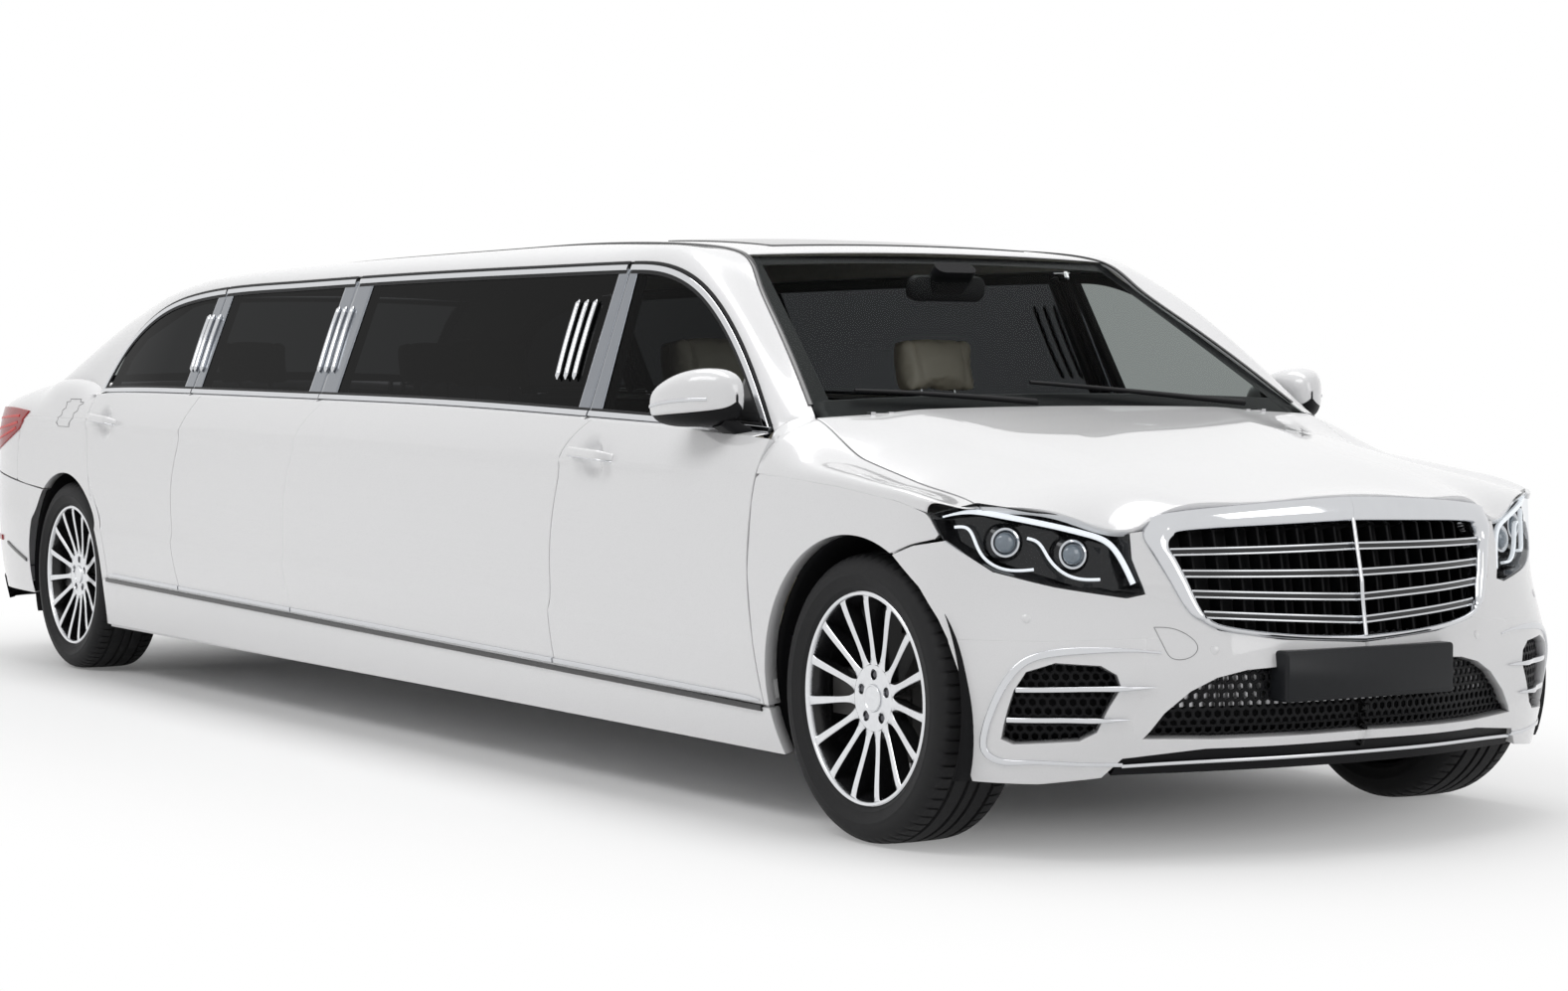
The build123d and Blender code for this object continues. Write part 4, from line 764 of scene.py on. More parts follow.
bonnet_piece = panel("bonnet_skin", bonnet[:, ::-1], PAINT, "hood", "white_paint", depth=0.018)
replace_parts(bonnet_piece, "hood")


def lining(name, grid, sink, inset, material, body, slot):
    """Inner panel of a lid: its grid drawn in and sunk, with a beaded frame round a flat middle."""
    rows, cols = (np.linspace(inset, 1 - inset, n) * (n - 1) for n in grid.shape[:2])
    i, j = np.clip(rows.astype(int), 0, grid.shape[0] - 2), np.clip(cols.astype(int), 0, grid.shape[1] - 2)
    a, b = (rows - i)[:, None, None], (cols - j)[None, :, None]
    near, far = ((1 - b) * row[:, j] + b * row[:, j + 1] for row in (grid[i], grid[i + 1]))
    inner = (1 - a) * near + a * far
    normal = unit(np.cross(np.gradient(inner, axis=1), np.gradient(inner, axis=0)))
    edge_r = np.minimum(np.linspace(0, 1, len(rows)), np.linspace(1, 0, len(rows)))[:, None]
    edge_c = np.minimum(np.linspace(0, 1, len(cols)), np.linspace(1, 0, len(cols)))[None]
    from_edge = np.minimum(edge_r, edge_c)
    bead = ease(from_edge, 0.0, 0.03) * (1 - 0.45 * ease(from_edge, 0.10, 0.15))
    inner = inner - normal * (0.004 + sink * bead)[..., None]
    return panel(name, inner[:, ::-1], material, body, slot, wall=0.0, edge="")


lining("bonnet_lining", bonnet[:, ::-1], 0.022, 0.012, PAINT, "hood", "white_paint")

# Boot lid: a steel pressing that rolls over from the deck to the upright tail.
# It is hinged under the rear window and has a beaded inner panel, as the bonnet has.
LID_X = (-0.455, -0.70, -0.90, -1.000, -1.052, -1.078, -1.092, -1.106)
LID_Z = (1.068, 1.052, 1.031, 1.014, 0.990, 0.950, 0.850, 0.735)
LID_HALF = (0.706, 0.698, 0.645, 0.600, 0.572, 0.562, 0.560, 0.560)
LID_BACK = (0.0, 0.15, 0.5, 0.8, 0.95, 1, 1, 1)
lid_at = np.r_[0, np.cumsum(np.hypot(np.diff(LID_X), np.diff(LID_Z)))]
v = spread(70, 0.004) * lid_at[-1]
lid_columns = np.transpose([LID_X, LID_Z, LID_HALF, LID_BACK])
lid_x, lid_z, lid_half, lid_back = curve(lid_at, lid_columns, v).T[..., None]
s = np.r_[-1, np.linspace(-0.994, 0.994, 59), 1][None, :]
y = s * lid_half
boot = np.stack(
    [R + lid_x + 0.13 * lid_back * y**2, y + 0 * lid_x, lid_z - 0.055 * y**2 * (1 - 0.6 * lid_back)], -1,
)
boot_piece = panel("boot_skin", boot, PAINT, "boot_lid", "white_paint", depth=0.018)
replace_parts(boot_piece, "boot_lid")
lining("boot_lining", boot, 0.022, 0.012, PAINT, "boot_lid", "white_paint")

# Bumpers: moulded plastic covers in body colour that wrap round to the wheels.
# The front one has a wide middle intake and one each side, and rises beside the grille to the lamps.


def loop(corners, count, bend=False):
    """Line through corner points, with as many steps between each two of them."""
    corners = np.array(corners, float)
    at = np.linspace(0, len(corners) - 1, (len(corners) - 1) * count + 1)
    return curve(np.arange(len(corners)), corners, at) if bend else straight_by(corners, at)


def straight_by(corners, at):
    return np.stack([np.interp(at, np.arange(len(corners)), column) for column in corners.T], -1)


def band(outer_line, inner_line, rows=14):
    """Ring of skin between two (q, z) lines."""
    t = spread(rows, 0.03)[:, None, None]
    grid = outer_line[None] + (inner_line - outer_line)[None] * t
    return skin(grid[..., 0], grid[..., 1])[:, ::-1]


def front_arch(z):
    return float(arch_q(z, 0, -1, ARCH_R))


MIDDLE_OUTER = [
    (NOSE_Q, 0.495), (-1.156, 0.510), (-1.001, 0.534), (-0.90, 0.530), (-0.83, 0.520), (-0.805, 0.40),
    (-0.757, 0.247), (-0.958, 0.266), (NOSE_Q, 0.270),
]
MIDDLE_HOLE = [
    (NOSE_Q, 0.455), (-1.16, 0.452), (-1.06, 0.446), (-0.985, 0.430), (-0.92, 0.400), (-0.855, 0.351),
    (-0.800, 0.290), (-0.98, 0.285), (NOSE_Q, 0.289),
]
SIDE_OUTER = [
    (-0.83, 0.520), (-0.70, 0.517), (-0.60, 0.515), (front_arch(0.515), 0.515), (front_arch(0.44), 0.44),
    (front_arch(0.37), 0.37), (front_arch(0.30), 0.30), (front_arch(0.235), 0.235), (-0.385, 0.190),
    (-0.554, 0.189), (-0.708, 0.203), (-0.757, 0.247), (-0.805, 0.40), (-0.83, 0.520),
]
SIDE_HOLE = [
    (-0.751, 0.440), (-0.716, 0.462), (-0.612, 0.469), (-0.542, 0.448), (-0.510, 0.405), (-0.493, 0.362),
    (-0.478, 0.320), (-0.470, 0.290), (-0.50, 0.278), (-0.655, 0.287), (-0.693, 0.307), (-0.726, 0.363),
    (-0.758, 0.410), (-0.751, 0.440),
]
GRILLE_OUTER = [
    (NOSE_Q, 0.838), (-1.296, 0.835), (-1.086, 0.823), (-0.906, 0.805), (-0.868, 0.787), (-0.850, 0.762),
    (-0.854, 0.735), (-0.875, 0.696), (-0.929, 0.586), (-0.962, 0.558), (-1.001, 0.537), (-1.156, 0.513),
    (NOSE_Q, 0.498),
]
GRILLE_INNER = [
    (NOSE_Q, 0.776), (-1.296, 0.774), (-1.09, 0.768), (-0.948, 0.760), (-0.925, 0.752), (-0.912, 0.738),
    (-0.912, 0.715), (-0.929, 0.681), (-0.967, 0.582), (-0.985, 0.562), (-1.012, 0.548), (-1.18, 0.525),
    (NOSE_Q, 0.514),
]
lower_middle = band(loop(MIDDLE_OUTER, 12), loop(MIDDLE_HOLE, 12))
lower_side = band(loop(SIDE_OUTER, 10), loop(SIDE_HOLE, 10))
upper = flank(
    [MIDDLE_OUTER[2], MIDDLE_OUTER[3], MIDDLE_OUTER[4], SIDE_OUTER[1], SIDE_OUTER[2], SIDE_OUTER[3]],
    [GRILLE_OUTER[8], (-0.845, 0.618), (-0.800, 0.609), (-0.638, 0.634), (-0.480, 0.668), (-0.349, 0.738)],
    [MIDDLE_OUTER[2], GRILLE_OUTER[9], GRILLE_OUTER[8]],
    [(front_arch(z), z) for z in (0.515, 0.56, 0.63, 0.70)] + [(-0.248, 0.724), (-0.349, 0.738)], (90, 40),
    straight,
)
horn = flank(
    [GRILLE_OUTER[8], (-0.845, 0.618)], [(-0.853, 0.760), (-0.825, 0.757)],
    [GRILLE_OUTER[8], GRILLE_OUTER[7], (-0.858, 0.730), (-0.853, 0.760)],
    [(-0.845, 0.618), (-0.823, 0.700), (-0.825, 0.757)], (14, 30), straight,
)
pair("front_bumper_middle", lower_middle, PAINT, "body", "white_paint", edge="bt", depth=0.03)
pair("front_bumper_side", lower_side, PAINT, "body", "white_paint", edge="bt", depth=0.03)
pair("front_bumper_upper", upper, PAINT, "body", "white_paint", edge="te", depth=0.02)
pair("front_bumper_horn", horn, PAINT, "body", "white_paint", edge="tfe", depth=0.02)
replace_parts(bpy.data.objects["front_bumper_middle_left"], "front_bumper")
rear_low_z = 0.262
rear_arch_z = np.linspace(rear_low_z, BUMPER_SPLIT[0][1] - GAP, 12)
rear_cover = flank(
    [(q, rear_low_z) for q in (arch_q(rear_low_z, WB, 1, REAR_ARCH_R), 6.0, 6.3, 6.6, 6.85, TAIL_Q)],
    [(q, z - GAP) for q, z in BUMPER_SPLIT] + [(6.85, END_Z - GAP), (TAIL_Q, END_Z - GAP)],
    np.stack([arch_q(rear_arch_z, WB, 1, REAR_ARCH_R), rear_arch_z], -1),
    [(TAIL_Q, rear_low_z), (TAIL_Q, 0.50), (TAIL_Q, END_Z - GAP)], (90, 34),
)
for piece in pair("rear_bumper_cover", rear_cover, PAINT, "body", "white_paint", edge="btf", depth=0.03):
    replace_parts(piece, "rear_bumper")

# Headlamps: a black moulded bowl behind a clear cover, with two projectors, a brow and two light guides.
# The cover lies flush with the wing, the bonnet and the bumper, a shut gap away from them.


def nose(q, z, out=0.0):
    """Point of the skin moved outwards along its normal."""
    step = 0.002
    q, z = np.broadcast_arrays(np.asarray(q, float), np.asarray(z, float))
    normal = np.cross(skin(q + step, z) - skin(q - step, z), skin(q, z + step) - skin(q, z - step))
    return skin(q, z) + unit(normal) * np.asarray(out)[..., None]


def facing(q, z):
    return nose(q, z, 1.0) - nose(q, z, 0.0)


def laid(q, z, out):
    """A line of (q, z) places lifted off the skin, and the skin's outward ways along it."""
    return nose(q, z, out), facing(q, z)


def oblong(width, height, radius, steps=4):
    """Closed outline of a rectangle with rounded corners."""
    turn = np.linspace(0, np.pi / 2, steps)
    half_w, half_h = width / 2 - radius, height / 2 - radius
    arcs = []
    for k, (a, b) in enumerate(((1, 1), (-1, 1), (-1, -1), (1, -1))):
        angle = turn + k * np.pi / 2
        arcs.append(np.stack([a * half_w + radius * np.cos(angle), b * half_h + radius * np.sin(angle)], -1))
    return np.concatenate(arcs)


def sweep_solid(path, outward, outline, scale=1.0):
    """Points and faces of a bar: an outline carried along a path, first measure across, second outwards."""
    path = np.asarray(path, float)
    way = unit(np.gradient(path, axis=0))
    across = unit(np.cross(way, np.broadcast_to(outward, path.shape)))
    up = np.cross(across, way)
    size = np.broadcast_to(np.asarray(scale, float).reshape(-1, 1, 1), (len(path), 1, 1))
    around = outline[None, :, :1] * across[:, None] + outline[None, :, 1:] * up[:, None]
    grid = path[:, None] + size * around
    count = len(outline)
    faces = cells(len(path), count, wrap_cols=True).tolist()
    faces += [list(range(count)), list(range((len(path) - 1) * count, len(path) * count))]
    return grid.reshape(-1, 3), faces


def bars(name, runs, outline, material, body, slot):
    """One piece made of several bars, each a path, its outward way and a taper."""
    points, faces, start = [], [], 0
    for path, outward, scale in runs:
        more, cut = sweep_solid(path, outward, outline, scale)
        faces += [[k + start for k in face] for face in cut]
        points.append(more)
        start += len(more)
    return raise_mesh(name, np.concatenate(points), faces, material, body, slot, solid=True)


def bar_pair(name, path, outward, outline, material, body, slot, scale=1.0):
    made = []
    for side, flip in (("left", (1, 1, 1)), ("right", OTHER_SIDE)):
        run = (np.asarray(path) * flip, np.asarray(outward) * flip, scale)
        made.append(bars(f"{name}_{side}", [run], outline, material, body.format(side), slot))
    return made


FORWARD, UPWARD = np.array([1.0, 0, 0]), np.array([0, 0, 1.0])
CHROME = finish("bright_chrome", (0.62, 0.63, 0.65), 0.07, metal=1.0, grain=25, vary=0.03)
BLACK_GLOSS = finish("gloss_black", (0.009, 0.009, 0.010), 0.12, coat=0.3, grain=60, vary=0.15, shine=0.3)
BLACK_MATT = finish(
    "moulded_black", (0.007, 0.007, 0.008), 0.50, grain=90, vary=0.2, bump=0.25, bump_grain=900, shine=0.12,
)
LAMP_CLEAR = pane_finish("lamp_cover", (0.93, 0.94, 0.95), 0.02)
GLOW = finish("light_guide", (0.86, 0.88, 0.90), 0.22, coat=0.5, grain=30)
GLOW.node_tree.nodes["Principled BSDF"].inputs["Emission Color"].default_value = (0.9, 0.95, 1, 1)
GLOW.node_tree.nodes["Principled BSDF"].inputs["Emission Strength"].default_value = 0.45
lamp = field(LAMP_LOW, LAMP_TOP, LAMP_INNER, LAMP_TIP, (60, 30), straight)
lamp_q, lamp_z = lamp[..., 0], lamp[..., 1]
pair("headlamp_cover", nose(lamp_q, lamp_z, 0.001), LAMP_CLEAR, "body", "lamp_clear", wall=0.0, edge="")
along, up = np.linspace(0, 1, 60)[None], np.linspace(0, 1, 30)[:, None]
in_u, in_v = np.minimum(along, 1 - along), np.minimum(up, 1 - up)
bowl_depth = 0.004 + 0.060 * ease(in_u, 0.0, 0.10) * ease(in_v, 0.0, 0.22)
for piece in pair(
    "headlamp_bowl", nose(lamp_q, lamp_z, -bowl_depth), BLACK_GLOSS, "body", "black_plastic", wall=0.002,
    edge="",
):
    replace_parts(piece, "headlamps")
BROW = [
    (-0.338, 0.793), (-0.430, 0.806), (-0.494, 0.800), (-0.729, 0.757), (-0.775, 0.737), (-0.800, 0.700),
    (-0.820, 0.645),
]
GUIDES = (
    [(-0.372, 0.770), (-0.413, 0.766), (-0.433, 0.735), (-0.453, 0.704), (-0.491, 0.681), (-0.589, 0.677)],
    [(-0.577, 0.748), (-0.605, 0.739), (-0.627, 0.708), (-0.648, 0.682), (-0.681, 0.662), (-0.748, 0.656)],
)
line = through(BROW, np.linspace(0, 1, 60))
taper = 0.35 + 0.65 * ease(np.linspace(0, 1, 60), 0, 0.25)
bar_pair(
    "headlamp_brow", *laid(*line.T, -0.012),
    oblong(0.013, 0.012, 0.004), GLOW, "body", "lamp_clear", taper,
)
for number, guide in enumerate(GUIDES):
    line = through(guide, np.linspace(0, 1, 50))
    bar_pair(
        f"headlamp_guide_{number}", *laid(*line.T, -0.020),
        oblong(0.007, 0.012, 0.003), GLOW, "body", "lamp_clear",
    )


def spun(profile, centre, axis, count=48):
    """Grid of a profile of (radius, height) turned round an axis through a centre."""
    axis = unit(np.asarray(axis, float))
    side = unit(np.cross((0.0, 0.0, 1.0), axis))
    top = np.cross(axis, side)
    angle = np.linspace(0, 2 * np.pi, count + 1)[None, :, None]
    radius, height = (np.array(profile, float)[:, k, None, None] for k in (0, 1))
    return centre + height * axis + radius * (np.cos(angle) * side + np.sin(angle) * top)


LENS = finish("projector_lens", (0.20, 0.24, 0.28), 0.04, coat=1.0, grain=60, vary=0.3)
for number, (at_q, at_z) in enumerate(((-0.510, 0.738), (-0.691, 0.715))):
    middle = nose(at_q, at_z, -0.046)
    aim = unit(facing(at_q, at_z) + (0.9, 0, 0))
    turn = np.linspace(0, np.pi / 2, 9)
    dome = np.stack([0.024 * np.cos(turn), 0.010 + 0.014 * np.sin(turn)], -1)
    ring = [(0.034, -0.004), (0.036, 0.006), (0.034, 0.012), (0.029, 0.013), (0.026, 0.009), (0.024, 0.008)]
    for part, profile, material in (("lens", dome, LENS), ("ring", ring, CHROME)):
        pair(
            f"headlamp_{part}_{number}", spun(profile, middle, aim), material, "body", "lamp_clear",
            wall=0.0, edge="",
        )
    shade = [(0.034, 0.011), (0.043, 0.004), (0.045, -0.016)]
    pair(
        f"headlamp_shade_{number}", spun(shade, middle, aim), BLACK_GLOSS, "body", "black_plastic",
        wall=0.0, edge="",
    )

# Grille: a bright plated frame moulded round the opening, with four double bars and a post.
# Black moulded slats and a black sheet close it behind.
RING_T = np.array([0, 0.03, 0.08, 0.30, 0.60, 0.88, 0.96, 1.0, 1.0])
RING_OUT = np.array([-0.016, -0.002, 0.005, 0.010, 0.012, 0.008, 0.003, -0.005, -0.045])
frame_outer, frame_inner = loop(GRILLE_OUTER, 9, True), loop(GRILLE_INNER, 9, True)
ring = frame_outer[None] + (frame_inner - frame_outer)[None] * RING_T[:, None, None]
ring = nose(ring[..., 0], ring[..., 1], np.broadcast_to(RING_OUT[:, None], ring.shape[:2]))[:, ::-1]
points, faces = sheets([ring, twin(ring)])
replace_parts(raise_mesh("grille_frame", points, faces, CHROME, "body", "chrome"), "grille")
BAR_ENDS = ((-0.908, 0.716, 0.721), (-0.928, 0.667, 0.660), (-0.947, 0.620, 0.602), (-0.973, 0.573, 0.549))
chrome_runs, dark_runs = [], []
for end_q, end_z, middle_z in BAR_ENDS:
    share = np.linspace(0, 1, 24)
    q = end_q + (NOSE_Q - end_q) * share
    z = end_z + (middle_z - end_z) * share
    for lift, runs, back in (
        (0.0068, chrome_runs, -0.010), (-0.0068, chrome_runs, -0.010), (0, dark_runs, -0.016),
    ):
        half = nose(q, z + lift, back)
        whole = np.concatenate([half, half[-2::-1] * OTHER_SIDE])
        runs.append((whole, FORWARD, 1.0))
bars("grille_bars", chrome_runs, oblong(0.0052, 0.012, 0.0022), CHROME, "body", "chrome")
bars("grille_bar_cores", dark_runs, oblong(0.0125, 0.018, 0.002), BLACK_GLOSS, "body", "black_plastic")
post_z = np.linspace(0.506, 0.790, 16)
post = nose(np.full(16, NOSE_Q + 0.0001), post_z, 0.0) * (1, 0, 1)
bars("grille_post", [(post, FORWARD, 1.0)], oblong(0.011, 0.016, 0.003), CHROME, "body", "chrome")
slat_runs, nose_run = [], np.linspace(NOSE_Q, -0.80, 200)
for y in np.linspace(-0.43, 0.43, 16):
    z = np.linspace(0.52, 0.77, 8)
    at = np.interp(abs(y), skin(nose_run, 0.65)[:, 1], nose_run)
    slat_runs.append((nose(np.full(8, at), z, -0.052) * (1, np.sign(y), 1), FORWARD, 1.0))
bars("grille_slats", slat_runs, oblong(0.007, 0.040, 0.002), BLACK_MATT, "body", "black_plastic")
backing = field(
    [(NOSE_Q, 0.505), (-0.97, 0.535)], [(NOSE_Q, 0.80), (-0.88, 0.78)], [(NOSE_Q, 0.505), (NOSE_Q, 0.80)],
    [(-0.97, 0.535), (-0.88, 0.78)], (30, 12), straight,
)
pair(
    "grille_backing", nose(backing[..., 0], backing[..., 1], -0.080), BLACK_MATT, "body", "black_plastic",
    edge="",
)

# Intakes: black ducts closed by a moulded honeycomb, with two bright fins each side.
# A bright line runs round each corner, and a black splitter with a bright edge closes the bumper below.


def honeycomb(q0, q1, z0, z1, out, pitch=0.024, web=0.0045):
    """Flat hexagon rings in rows, each row moved half a pitch, laid on the skin a little behind it."""
    rows = np.arange(int((z1 - z0) / (pitch * 0.866)) + 2)
    cols = np.arange(int((q1 - q0) / pitch) + 2)
    j, i = np.meshgrid(cols, rows)
    centre = np.stack([q0 + (j + 0.5 * (i % 2)) * pitch, z0 + i * pitch * 0.866], -1).reshape(-1, 1, 1, 2)
    angle = np.pi / 6 + np.arange(6) * np.pi / 3
    way = np.stack([np.cos(angle), np.sin(angle)], -1)
    reach = np.array([pitch / np.sqrt(3) - web, pitch / np.sqrt(3)])[:, None, None]
    place = centre + reach * way
    place[..., 0] = np.clip(place[..., 0], q0 - pitch, q1 + pitch)
    points = nose(place[..., 0], place[..., 1], out).reshape(-1, 3)
    ring = cells(2, 6, wrap_cols=True)
    faces = (ring[None] + np.arange(len(centre))[:, None, None] * 12).reshape(-1, 4)
    return points, faces


for name, q0, q1, z0, z1 in (("middle", NOSE_Q, -0.80, 0.26, 0.50), ("side", -0.79, -0.45, 0.25, 0.51)):
    points, faces = honeycomb(q0, q1, z0, z1, -0.030)
    for side, flip in (("left", 1), ("right", -1)):
        turned = faces if flip > 0 else faces[:, ::-1]
        piece = raise_mesh(
            f"intake_mesh_{name}_{side}", points * (1, flip, 1), turned, BLACK_MATT, "body",
            "black_plastic", 0.006,
        )
    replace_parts(piece, "intake_grilles")
    corners = low_in, low_out, top_in, top_out = [(q, z) for z in (z0 - 0.01, z1) for q in (q0, q1)]
    back = field(corners[:2], corners[2:], [low_in, top_in], [low_out, top_out], (24, 8))
    pair(
        f"intake_duct_{name}", nose(back[..., 0], back[..., 1], -0.060), BLACK_MATT, "body",
        "black_plastic", edge="",
    )
FINS = (((-0.515, 0.405), (-0.837, 0.410)), ((-0.488, 0.335), (-0.772, 0.338)))
for number, (start, end) in enumerate(FINS):
    line = np.linspace(start, end, 30)
    share = np.linspace(0, 1, 30)
    taper = np.clip((1 - share) / 0.30, 0.06, 1) ** 0.7
    out = -0.014 + 0.019 * ease(share, 0.45, 0.8)
    bar_pair(
        f"intake_fin_{number}", *laid(*line.T, out),
        oblong(0.013, 0.022, 0.004), CHROME, "body", "chrome", taper,
    )
CORNER_LINE = [
    (-0.860, 0.487), (-0.790, 0.494), (-0.722, 0.495), (-0.606, 0.488), (-0.545, 0.470), (-0.500, 0.430),
    (-0.458, 0.361), (-0.432, 0.300), (-0.430, 0.262), (-0.457, 0.243), (-0.520, 0.239), (-0.650, 0.235),
    (-0.758, 0.232),
]
line = through(CORNER_LINE, np.linspace(0, 1, 110))
share = np.linspace(0, 1, 110)
taper = 0.25 + 0.75 * ease(share, 0, 0.25) - 0.45 * ease(share, 0.62, 0.8)
bar_pair(
    "bumper_corner_line", *laid(*line.T, 0.001),
    oblong(0.017, 0.008, 0.003), CHROME, "body", "chrome", taper,
)
lip_low = field(
    [(NOSE_Q, 0.208), (-1.10, 0.208), (-0.90, 0.205), (-0.735, 0.203)],
    [(NOSE_Q, 0.268), (-1.10, 0.267), (-0.90, 0.260), (-0.757, 0.244)],
    [(NOSE_Q, 0.208), (NOSE_Q, 0.268)], [(-0.735, 0.203), (-0.757, 0.244)], (40, 12),
)
pair(
    "front_splitter", nose(lip_low[..., 0], lip_low[..., 1], -0.012), BLACK_MATT, "body", "black_plastic",
    edge="b", depth=0.06,
)
line = through([(NOSE_Q, 0.236), (-1.10, 0.235), (-0.90, 0.231), (-0.758, 0.226)], np.linspace(0, 1, 40))
half = nose(line[:, 0], line[:, 1], -0.006)
bars(
    "splitter_line", [(np.concatenate([half[::-1], half[1:] * OTHER_SIDE]), FORWARD, 1.0)],
    oblong(0.009, 0.010, 0.003), CHROME, "body", "chrome",
)

# Number plate: a blank black plate with rounded edges, standing off the bumper's middle.
# A thinner plate lies on its face.


def slab(name, outline, base, across, up, depth, bevel, material, body, slot):
    """Plate from an outline: its front edge rounded over by the bevel, its sides run back by the depth."""
    across, up, base = (np.asarray(part, float) for part in (across, up, base))
    out = np.cross(across, up)
    middle = outline.mean(0)
    reach = np.linalg.norm(outline - middle, axis=1, keepdims=True)
    inset = middle + (outline - middle) * (1 - bevel / reach)
    soft = middle + (outline - middle) * (1 - 0.3 * bevel / reach)
    rings = [(outline, -depth), (outline, -bevel), (soft, -0.3 * bevel), (inset, 0.0)]
    points = [base + flat[:, :1] * across + flat[:, 1:] * up + height * out for flat, height in rings]
    count = len(outline)
    faces = cells(len(rings), count, wrap_cols=True).tolist()
    faces += [list(range(count)), list(range(3 * count, 4 * count))]
    return raise_mesh(name, np.concatenate(points), faces, material, body, slot, solid=True)


low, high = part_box("plate_carrier")
PLATE_AT = (high.x - 0.001, 0.0, (low.z + high.z) / 2)
PLATE_FINISH = finish("blank_plate", (0.011, 0.012, 0.014), 0.34, grain=50, vary=0.15, shine=0.2)
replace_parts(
    slab(
        "front_plate", oblong(0.52, 0.118, 0.010, 6), PLATE_AT, (0, 1, 0), (0, 0, 1), 0.055, 0.004,
        PLATE_FINISH, "body", "black_plastic",
    ),
    "plate_carrier",
)
slab(
    "front_plate_face", oblong(0.506, 0.104, 0.006, 6), (PLATE_AT[0] + 0.001, 0, PLATE_AT[2]), (0, 1, 0),
    (0, 0, 1), 0.003, 0.001, PLATE_FINISH, "body", "black_plastic",
)

# Small bumper fittings: the tow eye's cover, which shows as a fine seam, and the round parking sensors.
# They are flush in the bumper's cover and painted with it.
TOW_COVER = [
    (-0.852, 0.545), (-0.905, 0.538), (-0.945, 0.505), (-0.925, 0.476), (-0.885, 0.474), (-0.868, 0.500),
    (-0.852, 0.545),
]
# Seams are thin dark grey lines laid on the skin: painted shade of the narrow gaps round the tow eye's cover
# and the fuel flap.
SEAM_SHADE = finish("shut_line", (0.10, 0.10, 0.105), 0.5, grain=60)
line = loop(TOW_COVER, 8, True)
seam_run = tuple(part * OTHER_SIDE for part in laid(*line.T, 0.0002)) + (1.0,)
bars("tow_cover_seam", [seam_run], oblong(0.0012, 0.0012, 0.0004), SEAM_SHADE, "body", "black_plastic")
for number, (at_q, at_z) in enumerate(((-0.985, 0.492), (-0.560, 0.566))):
    disc = [(0.0, 0.0022), (0.009, 0.002), (0.0105, 0.001), (0.011, -0.003)]
    pair(
        f"front_sensor_{number}", spun(disc[::-1], nose(at_q, at_z), facing(at_q, at_z), 24), PAINT, "body",
        "white_paint", wall=0.0, edge="",
    )

# Tail lamps: red moulded lenses that wrap round the rear corners and stand a little proud.
# Three brighter light guides run along each one.
RED_LENS = finish("red_lens", (0.36, 0.006, 0.008), 0.14, coat=0.15, grain=18, vary=0.25, shine=0.15)
RED_GLOW = finish("red_guide", (0.70, 0.03, 0.025), 0.25, grain=30, shine=0.15)
TAIL_TOP = [(5.690, 0.948), (5.85, 0.957), (6.10, 0.958), (6.35, 0.952), (6.560, 0.942)]
TAIL_LOW = [(5.800, 0.882), (5.93, 0.836), (6.08, 0.800), (6.32, 0.783), (6.560, 0.780)]
tail = field(TAIL_LOW, TAIL_TOP, [TAIL_LOW[0], TAIL_TOP[0]], [TAIL_LOW[-1], TAIL_TOP[-1]], (60, 16))
for piece in pair(
    "tail_lamp_lens", nose(tail[..., 0], tail[..., 1], 0.005), RED_LENS, "body", "lamp_red", wall=0.002,
    depth=0.016, radius=0.003,
):
    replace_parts(piece, "tail_lamps")
for number, share in enumerate((0.25, 0.5, 0.75)):
    low_line, top_line = (through(edge, np.linspace(0.08, 0.97, 40)) for edge in (TAIL_LOW, TAIL_TOP))
    line = low_line + (top_line - low_line) * share
    bar_pair(
        f"tail_lamp_guide_{number}", *laid(*line.T, 0.0052),
        oblong(0.010, 0.003, 0.001), RED_GLOW, "body", "lamp_red",
    )

# Wheels: cast alloy with fifteen slim spokes, their faces turned bright and the pockets left black.
# Five bolts hold each one and a plain cap closes it. The tyres have four grooves and cut shoulder blocks.
MACHINED = finish("machined_alloy", (0.74, 0.75, 0.77), 0.24, metal=1.0, grain=70, vary=0.06)
POCKET = finish("black_alloy", (0.010, 0.010, 0.011), 0.22, coat=0.2, grain=60, vary=0.2, shine=0.3)
BOLT = finish("dark_bolt", (0.10, 0.10, 0.11), 0.35, metal=1.0, grain=90)
TYRE = finish(
    "tyre_rubber", (0.017, 0.017, 0.018), 0.62, grain=45, vary=0.18, bump=0.3, bump_grain=1500, shine=0.2,
)
SPOKES, BOLTS = 15, 5
HUB_FACE_R, CAP_R, BOLT_R, BOLT_HOLE_R = 0.0795, 0.034, 0.056, 0.0125
spoke_r = np.r_[np.linspace(HUB_FACE_R, 0.13, 14), np.linspace(0.14, 0.232, 8), np.linspace(0.236, 0.2475, 6)]
spoke_half = (
    0.0078 + 0.0091 * np.exp(-(spoke_r - HUB_FACE_R) / 0.013) + 0.0020 * ease(spoke_r, 0.12, 0.25)
    + 0.005 * np.exp(-(0.2475 - spoke_r) / 0.005)
)


def face_out(r):
    """How far the wheel's face stands out from the wheel's middle plane at a radius."""
    return 0.079 + 0.025 * ease(r, 0.07, 0.27)


def polar(r, angle, out):
    return np.stack([r * np.cos(angle), np.broadcast_to(out, np.shape(r * angle)), r * np.sin(angle)], -1)


def ring_of(profile, count=120):
    """Wheel profile of (radius, out) turned round the axle; one given from outside in faces out."""
    profile = np.array(profile, float)
    angle = np.linspace(0, 2 * np.pi, count + 1)[None]
    return polar(profile[:, :1], angle, profile[:, 1:])


